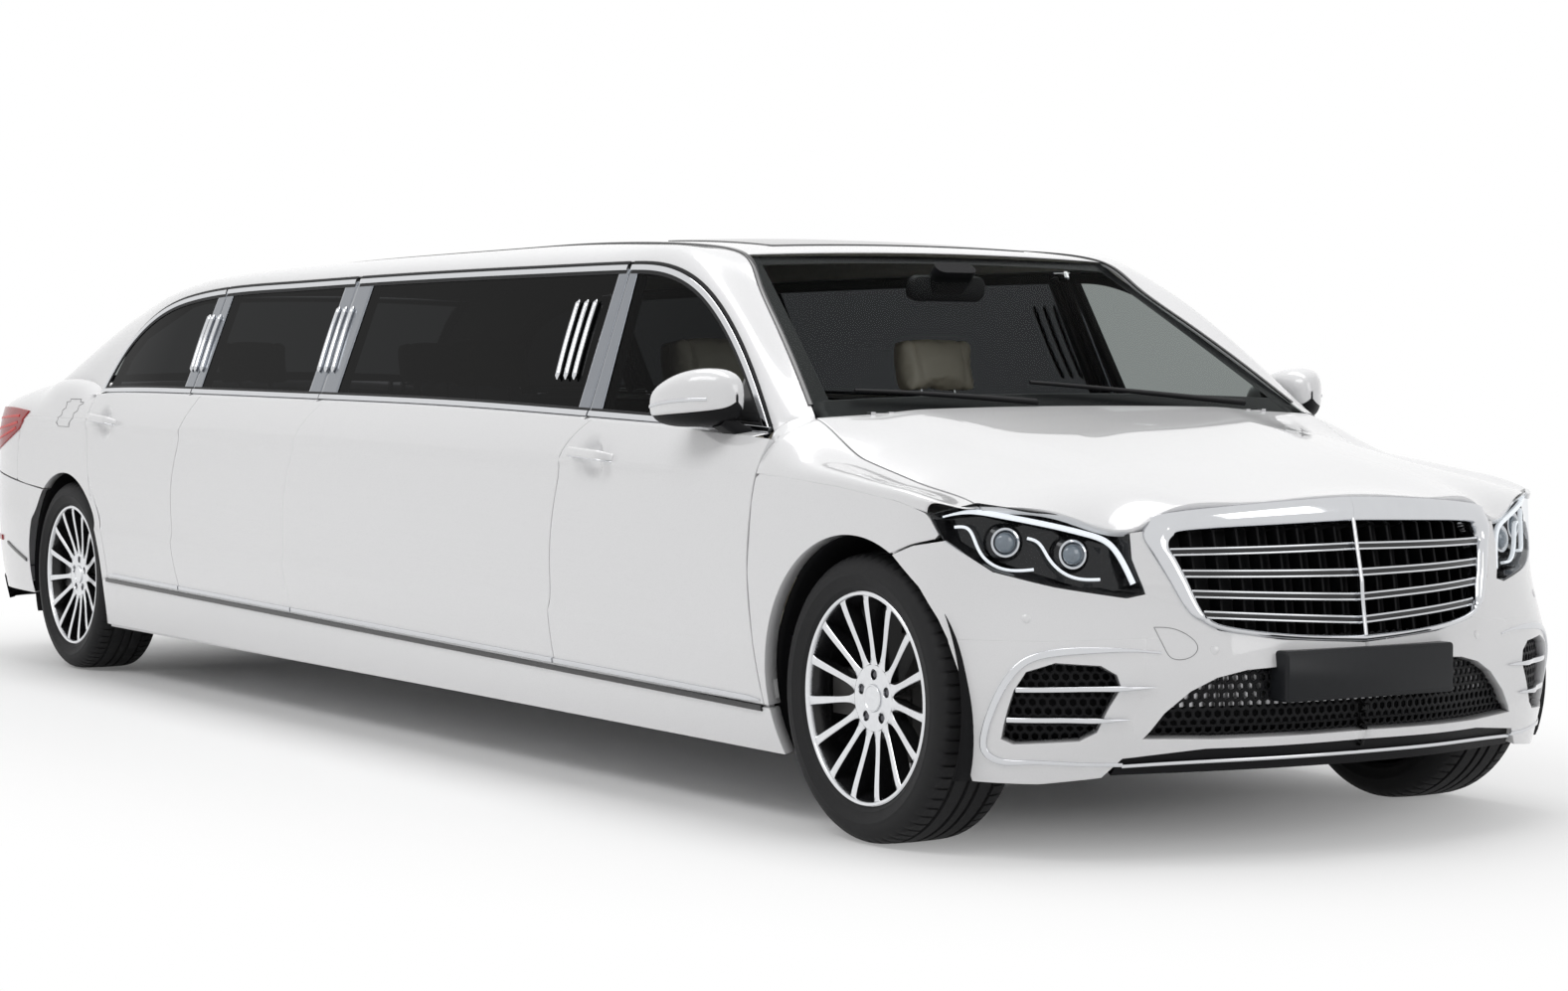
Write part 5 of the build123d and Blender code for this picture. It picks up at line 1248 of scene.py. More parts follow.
bright_grids, dark_grids, bolts = [], [], []
for k in range(SPOKES):
    turn = np.pi / 2 + 2 * np.pi * k / SPOKES
    along, aside = np.array([np.cos(turn), 0, np.sin(turn)]), np.array([-np.sin(turn), 0, np.cos(turn)])
    rise = face_out(spoke_r)[:, None, None] * np.array([0, 1, 0])

    def spoke_line(shares, drops):
        sideways = spoke_half[:, None, None] * np.array(shares)[None, :, None] * aside
        flat = spoke_r[:, None, None] * along + sideways
        return flat + rise + np.array(drops)[None, :, None] * np.array([0, 1, 0])

    bright = spoke_line((-1, -0.86, 0, 0.86, 1), (-0.0014, 0, 0.0003, 0, -0.0014))
    bright_grids.append(bright.transpose(1, 0, 2))
    dark = spoke_line((-1, -0.85, -0.6, 0.6, 0.85, 1), (-0.0014, -0.020, -0.042, -0.042, -0.020, -0.0014))
    dark_grids.append(dark.transpose(1, 0, 2)[::-1])
RIM_LIP = [
    (0.2435, 0.092), (0.2450, 0.1045), (0.2470, 0.1070), (0.2535, 0.1080), (0.2565, 0.1060), (0.2570, 0.100),
]
bright_grids.append(ring_of(RIM_LIP)[:, ::-1])
BARREL = [
    (0.2435, 0.094), (0.2380, 0.080), (0.2300, 0.055), (0.2260, 0.0), (0.2300, -0.070), (0.2500, -0.100),
]
dark_grids.append(ring_of(BARREL)[::-1, ::-1])
for k in range(BOLTS):
    turn = np.pi / 2 + 2 * np.pi * k / BOLTS
    wide = np.pi / BOLTS
    arc = np.linspace(-wide, wide, 17)
    edge_line = np.concatenate([
        np.stack([np.full(17, HUB_FACE_R), arc], -1),
        np.stack([np.linspace(HUB_FACE_R, CAP_R, 17), np.full(17, wide)], -1)[1:],
        np.stack([np.full(17, CAP_R), arc[::-1]], -1)[1:],
        np.stack([np.linspace(CAP_R, HUB_FACE_R, 17), np.full(17, -wide)], -1)[1:],
    ])
    edge_xy = np.stack(
        [edge_line[:, 0] * np.cos(edge_line[:, 1]), edge_line[:, 0] * np.sin(edge_line[:, 1])], -1,
    )
    start_angle = np.arctan2(edge_xy[:, 1], edge_xy[:, 0] - BOLT_R)
    hole_xy = BOLT_HOLE_R * np.stack([np.cos(start_angle), np.sin(start_angle)], -1) + (BOLT_R, 0)
    shares = np.array([0, 0.5, 0.93, 1.0, 1.0])[:, None, None]
    flat = edge_xy[None] + (hole_xy - edge_xy)[None] * shares
    radius = np.hypot(flat[..., 0], flat[..., 1])
    out = face_out(radius) - np.array([0, 0, 0, 0.0012, 0.016])[:, None]
    spin = np.array([[np.cos(turn), -np.sin(turn)], [np.sin(turn), np.cos(turn)]])
    flat = flat @ spin.T
    bright_grids.append(np.stack([flat[..., 0], out, flat[..., 1]], -1))
    seat = np.array([np.cos(turn), 0, np.sin(turn)]) * BOLT_R
    dark_grids.append(ring_of([(0.0126, 0.064), (0.0001, 0.064)], 24) + seat)
    bolts.append(ring_of([(0.0085, 0.064), (0.0085, 0.0735), (0.0075, 0.0748), (0.0001, 0.0748)], 6) + seat)
cap = [
    (CAP_R + 0.0005, 0.070), (CAP_R, 0.0815), (0.0325, 0.0835), (0.0295, 0.0840), (0.0285, 0.0828),
    (0.0270, 0.0826), (0.012, 0.0845), (0.0001, 0.0850),
]
tyre_half = [
    (0.2545, 0.098), (0.2600, 0.1070), (0.2660, 0.1105), (0.2680, 0.1122), (0.2700, 0.1120),
    (0.2800, 0.1172), (0.2930, 0.1208), (0.2945, 0.1217), (0.2975, 0.1219), (0.2990, 0.1213),
    (0.3060, 0.1215), (0.3180, 0.1190), (0.3270, 0.1140), (0.3340, 0.1080), (0.3400, 0.1000),
    (0.3440, 0.0900), (0.3462, 0.0760), (0.3468, 0.0655), (0.3405, 0.0640), (0.3405, 0.0560),
    (0.3472, 0.0545), (0.3477, 0.0215), (0.3410, 0.0200), (0.3410, 0.0120), (0.3480, 0.0105), (0.3480, 0.0),
]
tyre_profile = np.array(tyre_half + [(r, -d) for r, d in tyre_half[-2::-1]])
BLOCKS = 68
pitch = 2 * np.pi / BLOCKS
tyre_angle = np.append(((np.arange(BLOCKS)[:, None] + [0, 0.76, 0.80, 0.94]) * pitch).ravel(), 2 * np.pi)
sipe = np.append(np.tile([0.0, 0.0, 1.0, 1.0], BLOCKS), 0.0)
block = ease(tyre_profile[:, 0], 0.338, 0.3425) * ease(np.abs(tyre_profile[:, 1]), 0.055, 0.062)
tyre_r = tyre_profile[:, :1] - 0.0045 * block[:, None] * sipe[None]
tyre_grid = polar(tyre_r, tyre_angle[None], tyre_profile[:, 1:])
for end in ("front", "rear"):
    for side, flip in (("left", 1), ("right", -1)):
        low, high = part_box(f"tyre_{end}_{side}")
        hub = np.array([(low.x + high.x) / 2, (low.y + high.y) / 2, (low.z + high.z) / 2])
        body = f"wheel_{end}_{side}"
        for name, grids, material, slot in (
            ("face", bright_grids, MACHINED, "alloy"), ("pockets", dark_grids, POCKET, "alloy"),
            ("cap", [ring_of(cap, 60)], MACHINED, "alloy"), ("bolts", bolts, BOLT, "steel"),
            ("tyre", [tyre_grid], TYRE, "tyre"),
        ):
            points, faces = sheets(grids)
            faces = faces[:, ::-1] if flip > 0 else faces
            points = points * (1, flip, 1) + hub
            piece = raise_mesh(f"{body}_{name}", points, faces, material, body, slot)
            if name == "face":
                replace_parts(piece, f"wheel_{end}_{side}")
            if name == "tyre":
                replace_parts(piece, f"tyre_{end}_{side}")

# Window trims: a bright strip along the waist and over the windows between black seals.
# On the pillars lie flat satin covers, and by each pillar stand three bright round bars.
SEAL = finish("rubber_seal", (0.010, 0.010, 0.011), 0.5, grain=80, vary=0.2, shine=0.15)
SATIN = finish("satin_pillar", (0.20, 0.215, 0.24), 0.22, metal=0.9, coat=0.4, grain=20, vary=0.05)
LEAN = unit(np.array([0, 0.927, 0.374]))
WAIST_PARTS = (
    ("front_door", 0.470, 1.352, "front_door_{}"), ("long", 1.360, 3.120, "body"),
    ("short", 3.124, 4.168, "body"), ("rear_door", 4.176, 5.10, "rear_door_{}"),
)
for part, start, end, body in WAIST_PARTS:
    q = np.linspace(start, end, 60)
    for name, lift, outline, material, slot in (
        ("trim", 0.0155, oblong(0.016, 0.010, 0.003), CHROME, "chrome"),
        ("seal", 0.0035, oblong(0.009, 0.004, 0.001), SEAL, "black_plastic"),
        ("inner_seal", 0.0255, oblong(0.010, 0.004, 0.001), SEAL, "black_plastic"),
    ):
        bar_pair(
            f"waist_{name}_{part}", cabin(q, belt(q) + lift, 0.008 if name == "trim" else 0.005), LEAN,
            outline, material, body, slot,
        )
    low_line = skin(q, belt(q))
    top_line = cabin(q, belt(q) + 0.009, 0.002)
    t = np.linspace(0, 1, 6)[:, None, None]
    ledge = low_line * (1 - t) + top_line * t + np.array([0, 0.003, 0.002]) * t * (1 - t)
    pair(f"waist_ledge_{part}", ledge, PAINT, body, "white_paint", edge="")
slope = np.gradient(rail_low_qz, axis=0)
inside = unit(np.stack([slope[:, 1], -slope[:, 0]], -1))
OPENING_PARTS = (
    ("front_door", 0.470, 1.405, "front_door_{}"), ("long", 1.411, 3.147, "body"),
    ("short", 3.151, 4.183, "body"), ("rear_door", 4.189, 5.104, "rear_door_{}"),
)
for part, start, end, body in OPENING_PARTS:
    pick = (rail_low_qz[:, 0] >= start - 0.02) & (rail_low_qz[:, 0] <= end + 0.02)
    for name, depth, outline, material, slot in (
        ("trim", 0.0175, oblong(0.017, 0.008, 0.003), CHROME, "chrome"),
        ("seal", 0.0045, oblong(0.009, 0.004, 0.001), SEAL, "black_plastic"),
        ("inner_seal", 0.0300, oblong(0.012, 0.004, 0.001), SEAL, "black_plastic"),
    ):
        line = rail_low_qz[pick] + inside[pick] * depth
        line = through(line, np.linspace(0, 1, 90))
        line = line[(line[:, 0] >= start) & (line[:, 0] <= end)]
        bar_pair(
            f"window_{name}_{part}", cabin(line[:, 0], line[:, 1], 0.008 if name == "trim" else 0.005),
            LEAN, outline, material, body, slot,
        )
PILLARS = (
    ("front_door", 1.290, 1.356, 1.364, 1.404, "front_door_{}"),
    ("long_front", 1.362, 1.424, 1.410, 1.464, "body"),
    ("long_back", 3.007, 3.125, 3.030, 3.147, "body"), ("short_front", 3.129, 3.219, 3.151, 3.235, "body"),
    ("short_back", 4.108, 4.174, 4.128, 4.182, "body"),
    ("rear_door", 4.180, 4.256, 4.188, 4.250, "rear_door_{}"),
)
for part, low_start, low_end, top_start, top_end, body in PILLARS:
    foot_start, foot_end = ((q, belt(q) + 0.012) for q in (low_start, low_end))
    head_start, head_end = ((q, 1.398 - 0.022 * ease(q, 2.9, 4.3)) for q in (top_start, top_end))
    grid = side_pane(
        sill_line(low_start, low_end), [head_start, head_end], [foot_start, head_start], [foot_end, head_end],
        0.007, (8, 20),
    )
    pair(f"pillar_cover_{part}", grid, SATIN, body, "chrome", radius=0.001, depth=0.004)
PILLAR_BARS = (
    (1.595, 1.095, 1.629, 1.317, "body"), (1.547, 1.095, 1.578, 1.317, "body"),
    (1.499, 1.095, 1.528, 1.317, "body"),
    (3.191, 1.108, 3.213, 1.317, "body"), (3.139, 1.108, 3.163, 1.317, "body"),
    (3.087, 1.108, 3.110, 1.317, "body"),
    (4.238, 1.106, 4.256, 1.302, "rear_door_{}"), (4.206, 1.106, 4.224, 1.302, "rear_door_{}"),
    (4.150, 1.106, 4.166, 1.302, "body"),
)
for number, (low_q, low_z, top_q, top_z, body) in enumerate(PILLAR_BARS):
    share = np.linspace(0, 1, 24)
    bow = 4 * share * (1 - share)
    line = cabin(low_q + (top_q - low_q) * share + 0.006 * bow, low_z + (top_z - low_z) * share, 0.012)
    end_round = np.sqrt(np.clip(1 - np.clip((np.abs(2 * share - 1) - 0.93) / 0.07, 0, 0.98) ** 2, 0, 1))
    turn = np.linspace(0, 2 * np.pi, 17)[:-1]
    oval = 0.0095 * np.stack([np.cos(turn), 0.8 * np.sin(turn)], -1)
    bar_pair(f"pillar_bar_{number}", line, LEAN, oval, CHROME, body, "chrome", end_round)

# Sill trim: a bright strip low on the doors, split where they part, and a gloss black strip under it on the
# sill, which also carries the painted shade under the doors' lower edges.
# Both are clipped to the skin, and the bright one tapers at its two ends.
SILL_PARTS = (
    ("front_door", 0.425, 1.484, "front_door_{}"), ("long", 1.494, 3.231, "body"),
    ("short", 3.239, 4.160, "body"), ("rear_door", 4.170, 4.832, "rear_door_{}"),
)
for part, start, end, body in SILL_PARTS:
    q = np.linspace(start, end, 50)
    taper = np.ones(50)
    if part == "front_door":
        taper = 0.35 + 0.65 * ease(q, start, start + 0.06)
    if part == "rear_door":
        taper = 1 - 0.65 * ease(q, end - 0.06, end)
    bar_pair(
        f"sill_trim_{part}", *laid(q, trim_line(q) + 0.0165, 0.002), oblong(0.015, 0.010, 0.003), CHROME,
        body, "chrome", taper,
    )
# The gloss black strip covers the top of the sill just under the doors' shut line: a black strip with the
# shade under the doors painted into it.
q = np.linspace(0.42, 4.85, 120)
bar_pair(
    "sill_dark_trim", *laid(q, trim_line(q) - 0.004, 0.001), oblong(0.015, 0.010, 0.003), BLACK_GLOSS,
    "body", "black_plastic",
)

# Door handles: moulded pull bars in body colour that arch over the pressed dishes in the doors.
# Each has a bright plated strip along its lower edge.
for name, (at_q, at_z) in zip(("front", "rear"), HANDLES):
    body = f"{name}_door_" + "{}"
    share = np.linspace(0, 1, 40)
    q = at_q + 0.112 * (2 * share - 1)
    z = at_z + 0.003 + 0.010 * share
    arch = ease(share, 0, 0.16) * (1 - ease(share, 0.84, 1))
    taper = 0.72 + 0.28 * arch
    outward = facing(np.full(40, at_q + 0.3), np.full(40, at_z))
    base = skin(np.full(40, at_q + 0.16), z) * (0, 1, 0) + np.stack([F - q, 0 * q, z], -1)
    grip = base + outward * (-0.004 + 0.034 * arch)[:, None]
    bar_pair(
        f"{name}_door_handle", grip, outward, oblong(0.026, 0.015, 0.006), PAINT, body, "white_paint",
        taper,
    )
    lower = base + outward * (-0.003 + 0.0345 * arch)[:, None] + (0, 0, -0.0125)
    bar_pair(
        f"{name}_handle_line", lower, outward, oblong(0.005, 0.012, 0.002), CHROME, body, "chrome", taper,
    )

# Door mirrors: a white moulded shell over a black lower half on a black arm, fixed to the front doors.
# A bright indicator line runs round the front, and a black sail fills the window's corner.
MIRROR_X = (-0.780, -0.772, -0.745, -0.69, -0.63, -0.585, -0.555, -0.540, -0.534)
MIRROR_IN = (0.914, 0.906, 0.900, 0.898, 0.899, 0.903, 0.911, 0.924, 0.939)
MIRROR_OUT = (1.048, 1.058, 1.063, 1.061, 1.046, 1.022, 0.992, 0.966, 0.947)
MIRROR_LOW = (0.992, 0.985, 0.980, 0.979, 0.982, 0.989, 1.000, 1.016, 1.040)
MIRROR_TOP = (1.078, 1.088, 1.103, 1.121, 1.130, 1.127, 1.114, 1.094, 1.066)
station = np.linspace(0, len(MIRROR_X) - 1, 41)
mirror_columns = np.transpose([MIRROR_X, MIRROR_IN, MIRROR_OUT, MIRROR_LOW, MIRROR_TOP])
mx, m_in, m_out, m_low, m_top = curve(np.arange(len(MIRROR_X)), mirror_columns, station).T[..., None]


def mirror_shell(angle, out=0.0):
    """Rounded-square rings of the mirror's stations at given angles, grown a little outwards."""
    wide, tall = (np.sign(part)[None] * np.abs(part) ** 0.75 for part in (np.cos(angle), np.sin(angle)))
    y = (m_in + m_out) / 2 + ((m_out - m_in) / 2 + out) * wide
    z = (m_low + m_top) / 2 + ((m_top - m_low) / 2 + out) * tall
    return np.stack([F + mx + 0 * wide, y, z], -1)


SPLIT = -0.42
MIRROR_GLASS = finish("mirror_glass", (0.82, 0.84, 0.86), 0.02, metal=1.0, grain=10, vary=0.01)
upper_shell = mirror_shell(np.linspace(SPLIT, np.pi - SPLIT, 40))
lower_shell = mirror_shell(np.linspace(np.pi - SPLIT, 2 * np.pi + SPLIT, 30), -0.002)
for side, turned in (("left", lambda grid: grid), ("right", twin)):
    body = f"front_door_{side}"
    shell = panel(
        f"mirror_shell_{side}", turned(upper_shell), PAINT, body, "white_paint", wall=0.002, edge="f",
        depth=0.004,
    )
    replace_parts(shell, f"mirror_{side}")
    panel(f"mirror_base_{side}", turned(lower_shell), BLACK_MATT, body, "black_plastic", wall=0.002, edge="")
    flip = 1 if side == "left" else -1
    outline = mirror_shell(np.linspace(0, 2 * np.pi, 49)[:-1], -0.006)[0]
    flat = np.stack([-(outline[:, 1]), outline[:, 2]], -1)
    slab(
        f"mirror_glass_{side}", flat * (flip, 1), (F - 0.778, 0, 0), (0, -1, 0), (0, 0, 1), 0.004, 0.001,
        MIRROR_GLASS, body, "chrome",
    )
pick = station < 5.6
mirror_side = (m_in + m_out) / 2 + (m_out - m_in) / 2 * 0.995
line = np.hstack([F + mx, mirror_side, m_low + 0.46 * (m_top - m_low)])[pick]
turn_out = unit(np.stack([np.linspace(0.1, 0.8, len(line)), np.ones(len(line)), 0 * line[:, 0]], -1))
bar_pair(
    "mirror_line", line[3:], turn_out[3:], oblong(0.008, 0.006, 0.002), CHROME, "front_door_{}", "chrome",
)
arm = through(
    [(F - 0.600, 0.955, 0.998), (F - 0.590, 0.915, 0.975), (F - 0.575, 0.870, 0.962)],
    np.linspace(0, 1, 16),
)
bar_pair(
    "mirror_arm", arm, FORWARD, oblong(0.034, 0.075, 0.014, 6), BLACK_MATT, "front_door_{}",
    "black_plastic",
)
sail = side_pane(
    sill_line(0.490, 0.66), [(0.560, 1.052), (0.66, 1.128)], [(0.490, 0.973), (0.560, 1.052)],
    [(0.66, 0.981), (0.66, 1.128)], 0.0065, (12, 12),
)
pair("mirror_sail", sail, BLACK_GLOSS, "front_door_{}", "black_plastic", edge="", wall=0.002)

# Roof lines: gloss black mouldings along the roof's joints and down the windscreen's sides.
# A dark glass panel lies in the roof over the driver.
pick = slice(2, int(np.searchsorted(rail_at, rail_run[13])))
line = rail_top[pick] + face[pick] * 0.001
bar_pair("roof_moulding", line, face[pick], oblong(0.014, 0.006, 0.002), BLACK_GLOSS, "body", "black_plastic")
roof_x = roof[30, :, 0] - F
front_at, back_at = int(np.argmin(np.abs(roof_x + 1.20))), int(np.argmin(np.abs(roof_x + 1.78)))
glass = roof[8:53, front_at:back_at + 1] + np.array([0, 0, 0.0025])
panel("roof_glass", glass, BLACK_GLOSS, "body", "privacy_glass", wall=0.003, radius=0.002, depth=0.006)

# Rear fittings: a blank plate, the boot lid's bright bar, reflectors, side strips and the fuel flap's seam, a
# dark line of painted shade.
# A dark moulded valance closes the bumper below, with a bright tailpipe trim each side.
lid_mid = int(len(v) * 0.80)
bar_line = boot[lid_mid, 6:-6] + np.array([-0.004, 0, 0])
bars(
    "boot_bar", [(bar_line, np.array([-1.0, 0, 0.1]), 1.0)], oblong(0.022, 0.010, 0.004), CHROME,
    "boot_lid", "chrome",
)
q = np.linspace(6.02, 6.20, 20)
bar_pair("rear_reflector", *laid(q, 0.455, 0.002), oblong(0.020, 0.006, 0.002), RED_LENS, "body", "lamp_red")
valance = field(
    [(6.10, 0.215), (6.4, 0.212), (6.8, 0.210), (TAIL_Q, 0.210)],
    [(6.10, 0.300), (6.4, 0.320), (6.8, 0.330), (TAIL_Q, 0.330)],
    [(6.10, 0.215), (6.10, 0.300)], [(TAIL_Q, 0.210), (TAIL_Q, 0.330)], (40, 10),
)
pair(
    "rear_valance", nose(valance[..., 0], valance[..., 1], 0.004), BLACK_MATT, "body", "black_plastic",
    edge="btf", depth=0.02,
)
for side, flip in (("left", 1), ("right", -1)):
    pipe_line = np.linspace((R - 0.98, 0.56 * flip, 0.262), (R - 1.085, 0.56 * flip, 0.262), 8)
    pipe = sweep_solid(pipe_line, UPWARD, oblong(0.15, 0.062, 0.022, 6))
    raise_mesh(f"tailpipe_trim_{side}", *pipe, CHROME, "body", "chrome", solid=True)
slab(
    "rear_plate", oblong(0.52, 0.112, 0.010, 6), (R - 1.126, 0, 0.56), (0, -1, 0), (0, 0, 1), 0.012, 0.003,
    PLATE_FINISH, "body", "black_plastic",
)
FLAP = [
    (5.227, 0.912), (5.240, 0.898), (5.350, 0.898), (5.362, 0.912), (5.285, 0.985), (5.262, 1.0),
    (5.165, 1.0), (5.152, 0.985), (5.227, 0.912),
]
flap_line = []
for at_q, at_z in loop(FLAP, 8):
    column = deck[:, int(np.argmin(np.abs(deck_q - at_q)))]
    on_roll = [np.interp(at_z, column[:, 2], column[:, k]) for k in range(3)]
    flap_line.append(on_roll if at_z > SHOULDER_REAR_Z else skin(at_q, at_z))
flap_line = np.array(flap_line) * OTHER_SIDE
flap_out = np.broadcast_to(unit(np.array([0, -0.85, 0.5])), flap_line.shape)
# The flap's seam is a thin dark grey line on the skin: painted shade of the gap round the flap.
bars(
    "fuel_flap_seam", [(flap_line + 0.0003 * flap_out, flap_out, 1.0)], oblong(0.0022, 0.0012, 0.0004),
    SEAM_SHADE, "body", "black_plastic",
)
q, z = np.linspace(5.695, 5.93, 24), np.linspace(0.384, 0.440, 24)
bar_pair(
    "rear_side_strip", *laid(q, z, 0.002), oblong(0.013, 0.006, 0.002), BLACK_GLOSS, "body",
    "black_plastic",
)

# Seats: cream leather over foam, six alike, each a cushion, a back and a head restraint on two steel posts.
# The pads are blown up like sewn covers over foam, and their seams are then drawn in.
LEATHER = finish("cream_leather", (0.66, 0.59, 0.49), 0.46, grain=14, vary=0.10, bump=0.45, bump_grain=650)
SEAT_W, BACK_W, HEAD_W = 0.490, 0.462, 0.256
SEAT_LONG, SEAT_BASE_Z = 0.500, 0.282
CUSHION_SIDE = np.array([
    (0.012, 0.012), (0.012, 0.148), (0.250, 0.158), (0.440, 0.178), (0.482, 0.150), (0.486, 0.060),
    (0.470, 0.012),
])
BACK_SIDE = np.array([
    (0.104, 0.160), (0.040, 0.430), (-0.034, 0.718), (-0.100, 0.718), (-0.060, 0.430), (-0.030, 0.160),
])
HEAD_SIDE = np.array([
    (-0.050, 0.778), (-0.072, 0.860), (-0.082, 0.930), (-0.140, 0.925), (-0.138, 0.860), (-0.116, 0.778),
])
PUFF_STEPS, PUFF_CAP, VOXEL = 20, 0.016, 0.008


def pad_mesh(name, side, width):
    """Closed pad from its side outline: layers that draw in at both ends, then filled with air as cloth."""
    layers = ((-1.0, 0.80), (-0.94, 0.94), (-0.80, 1.0), (0.0, 1.0), (0.80, 1.0), (0.94, 0.94), (1.0, 0.80))
    middle = side.mean(0)
    points = [
        np.column_stack([side_at[:, 0], np.full(len(side), share * width / 2), side_at[:, 1]])
        for share, size in layers for side_at in [middle + (side - middle) * size]
    ]
    count = len(side)
    faces = cells(len(layers), count, wrap_cols=True).tolist()
    faces += [list(range(count)), list(range((len(layers) - 1) * count, len(layers) * count))]
    mesh = bpy.data.meshes.new(name)
    mesh.from_pydata(np.concatenate(points).tolist(), [], faces)
    work = bmesh.new()
    work.from_mesh(mesh)
    bmesh.ops.recalc_face_normals(work, faces=work.faces)
    work.to_mesh(mesh)
    work.free()
    pad = bpy.data.objects.new(name, mesh)
    scene.collection.objects.link(pad)
    remesh = pad.modifiers.new("skin", "REMESH")
    remesh.mode = "VOXEL"
    remesh.voxel_size = VOXEL
    soften = pad.modifiers.new("soften", "SMOOTH")
    soften.factor, soften.iterations = 0.5, 8
    shaped = bpy.data.meshes.new_from_object(pad.evaluated_get(bpy.context.evaluated_depsgraph_get()))
    pad.modifiers.clear()
    pad.data = shaped
    rest = np.empty(3 * len(shaped.vertices))
    shaped.vertices.foreach_get("co", rest)
    cloth = pad.modifiers.new("air", "CLOTH")
    cloth.settings.use_pressure = True
    cloth.settings.uniform_pressure_force = 4
    cloth.settings.effector_weights.gravity = 0
    cloth.settings.quality = 4
    for step in range(1, PUFF_STEPS + 1):
        scene.frame_set(step)
    blown = bpy.data.meshes.new_from_object(pad.evaluated_get(bpy.context.evaluated_depsgraph_get()))
    moved = np.empty(3 * len(blown.vertices))
    blown.vertices.foreach_get("co", moved)
    shift = (moved - rest).reshape(-1, 3)
    long = np.linalg.norm(shift, axis=1, keepdims=True)
    shift = shift * np.minimum(1, PUFF_CAP / np.maximum(long, 1e-9))
    pad.modifiers.clear()
    rest = (rest.reshape(-1, 3) + shift).ravel()
    scene.frame_set(1)
    faces = np.empty(4 * len(shaped.polygons), int)
    shaped.polygons.foreach_get("vertices", faces)
    normals = np.empty(3 * len(shaped.vertices))
    shaped.vertices.foreach_get("normal", normals)
    bpy.data.objects.remove(pad)
    return rest.reshape(-1, 3), faces.reshape(-1, 4), normals.reshape(-1, 3)


def stitched(points, normals, marks):
    """Seams drawn in: a narrow groove along each mark, which is a column number and the place on it."""
    deep = np.zeros(len(points))
    for column, place in marks:
        deep = deep + np.exp(-(((points[:, column] - place) / 0.007) ** 2))
    return points - normals * (0.006 * np.minimum(deep, 1))[:, None]


PADS = {
    "cushion": (CUSHION_SIDE, SEAT_W, [(1, 0.150), (1, -0.150), (0, 0.16), (0, 0.27), (0, 0.38)]),
    "back": (BACK_SIDE, BACK_W, [(1, 0.145), (1, -0.145), (2, 0.32), (2, 0.45), (2, 0.58)]),
    "head": (HEAD_SIDE, HEAD_W, [(1, 0.085), (1, -0.085)]),
}
SEAT_ROWS = (("front", F - 0.98, 0.385), ("middle", F - 2.35, 0.385), ("rear", R + 1.00, 0.365))
for part, (side, width, marks) in PADS.items():
    points, faces, normals = pad_mesh(f"{part}_pad", side, width)
    points = stitched(points, normals, marks)
    for row, front_x, seat_y in SEAT_ROWS:
        for hand, flip in (("left", 1), ("right", -1)):
            place = points + (front_x - SEAT_LONG, flip * seat_y, SEAT_BASE_Z)
            piece = raise_mesh(f"{row}_seat_{part}_{hand}", place, faces, LEATHER, "body", "leather")
            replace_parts(piece, f"{row}_seats")
STEEL = finish("brushed_steel", (0.42, 0.42, 0.43), 0.32, metal=1.0, grain=60, vary=0.1)
TRIM = finish("dark_trim", (0.030, 0.029, 0.030), 0.6, grain=40, vary=0.15, bump=0.35, bump_grain=700)
post_runs, base_runs = [], []
turn = np.linspace(0, 2 * np.pi, 13)[:-1]
for row, front_x, seat_y in SEAT_ROWS:
    for flip in (1, -1):
        for shift in (-0.06, 0.06):
            post_y = flip * seat_y + shift
            line = np.linspace((front_x - 0.5675, post_y, 0.980), (front_x - 0.585, post_y, 1.080), 6)
            post_runs.append((line, FORWARD, 1.0))
        foot = np.linspace(
            (front_x - 0.46, flip * seat_y, 0.2525), (front_x - 0.06, flip * seat_y, 0.2525), 6,
        )
        base_runs.append((foot, UPWARD, 1.0))
bars(
    "head_restraint_posts", post_runs, 0.006 * np.stack([np.cos(turn), np.sin(turn)], -1), STEEL, "body",
    "steel",
)
bars("seat_bases", base_runs, oblong(0.40, 0.060, 0.012), TRIM, "body", "dark_trim")

# Cabin trim: moulded panels in dark leather inside the doors and sides, and a pale headlining under the roof.
# Each window is framed inside by a black moulding.
HEADLINING = finish(
    "headlining_cloth", (0.66, 0.63, 0.58), 0.9, grain=60, vary=0.08, bump=0.3, bump_grain=900,
)
for side, turned in (("left", lambda grid: grid), ("right", twin)):
    for name, grid, body in (
        ("front_door", front_door, f"front_door_{side}"), ("long_side", long_side, "body"),
        ("short_side", short_side, "body"), ("rear_door", rear_door, f"rear_door_{side}"),
    ):
        lining(f"{name}_trim_{side}", turned(grid), 0.055, 0.004, TRIM, body, "dark_trim")
    lining(f"rail_lining_{side}", turned(rail), 0.012, 0.0, HEADLINING, "body", "dark_trim")
lining("headlining", roof, 0.022, 0.0, HEADLINING, "body", "dark_trim")
for name, (bottom, top, front, back, body, node) in WINDOWS.items():
    for part, edge in (("top", top), ("front", front), ("back", back)):
        line = through(edge, np.linspace(0, 1, 40))
        bar_pair(
            f"{name}_frame_{part}", cabin(line[:, 0], line[:, 1], -0.012), LEAN,
            oblong(0.034, 0.022, 0.006), BLACK_MATT, body, "black_plastic",
        )

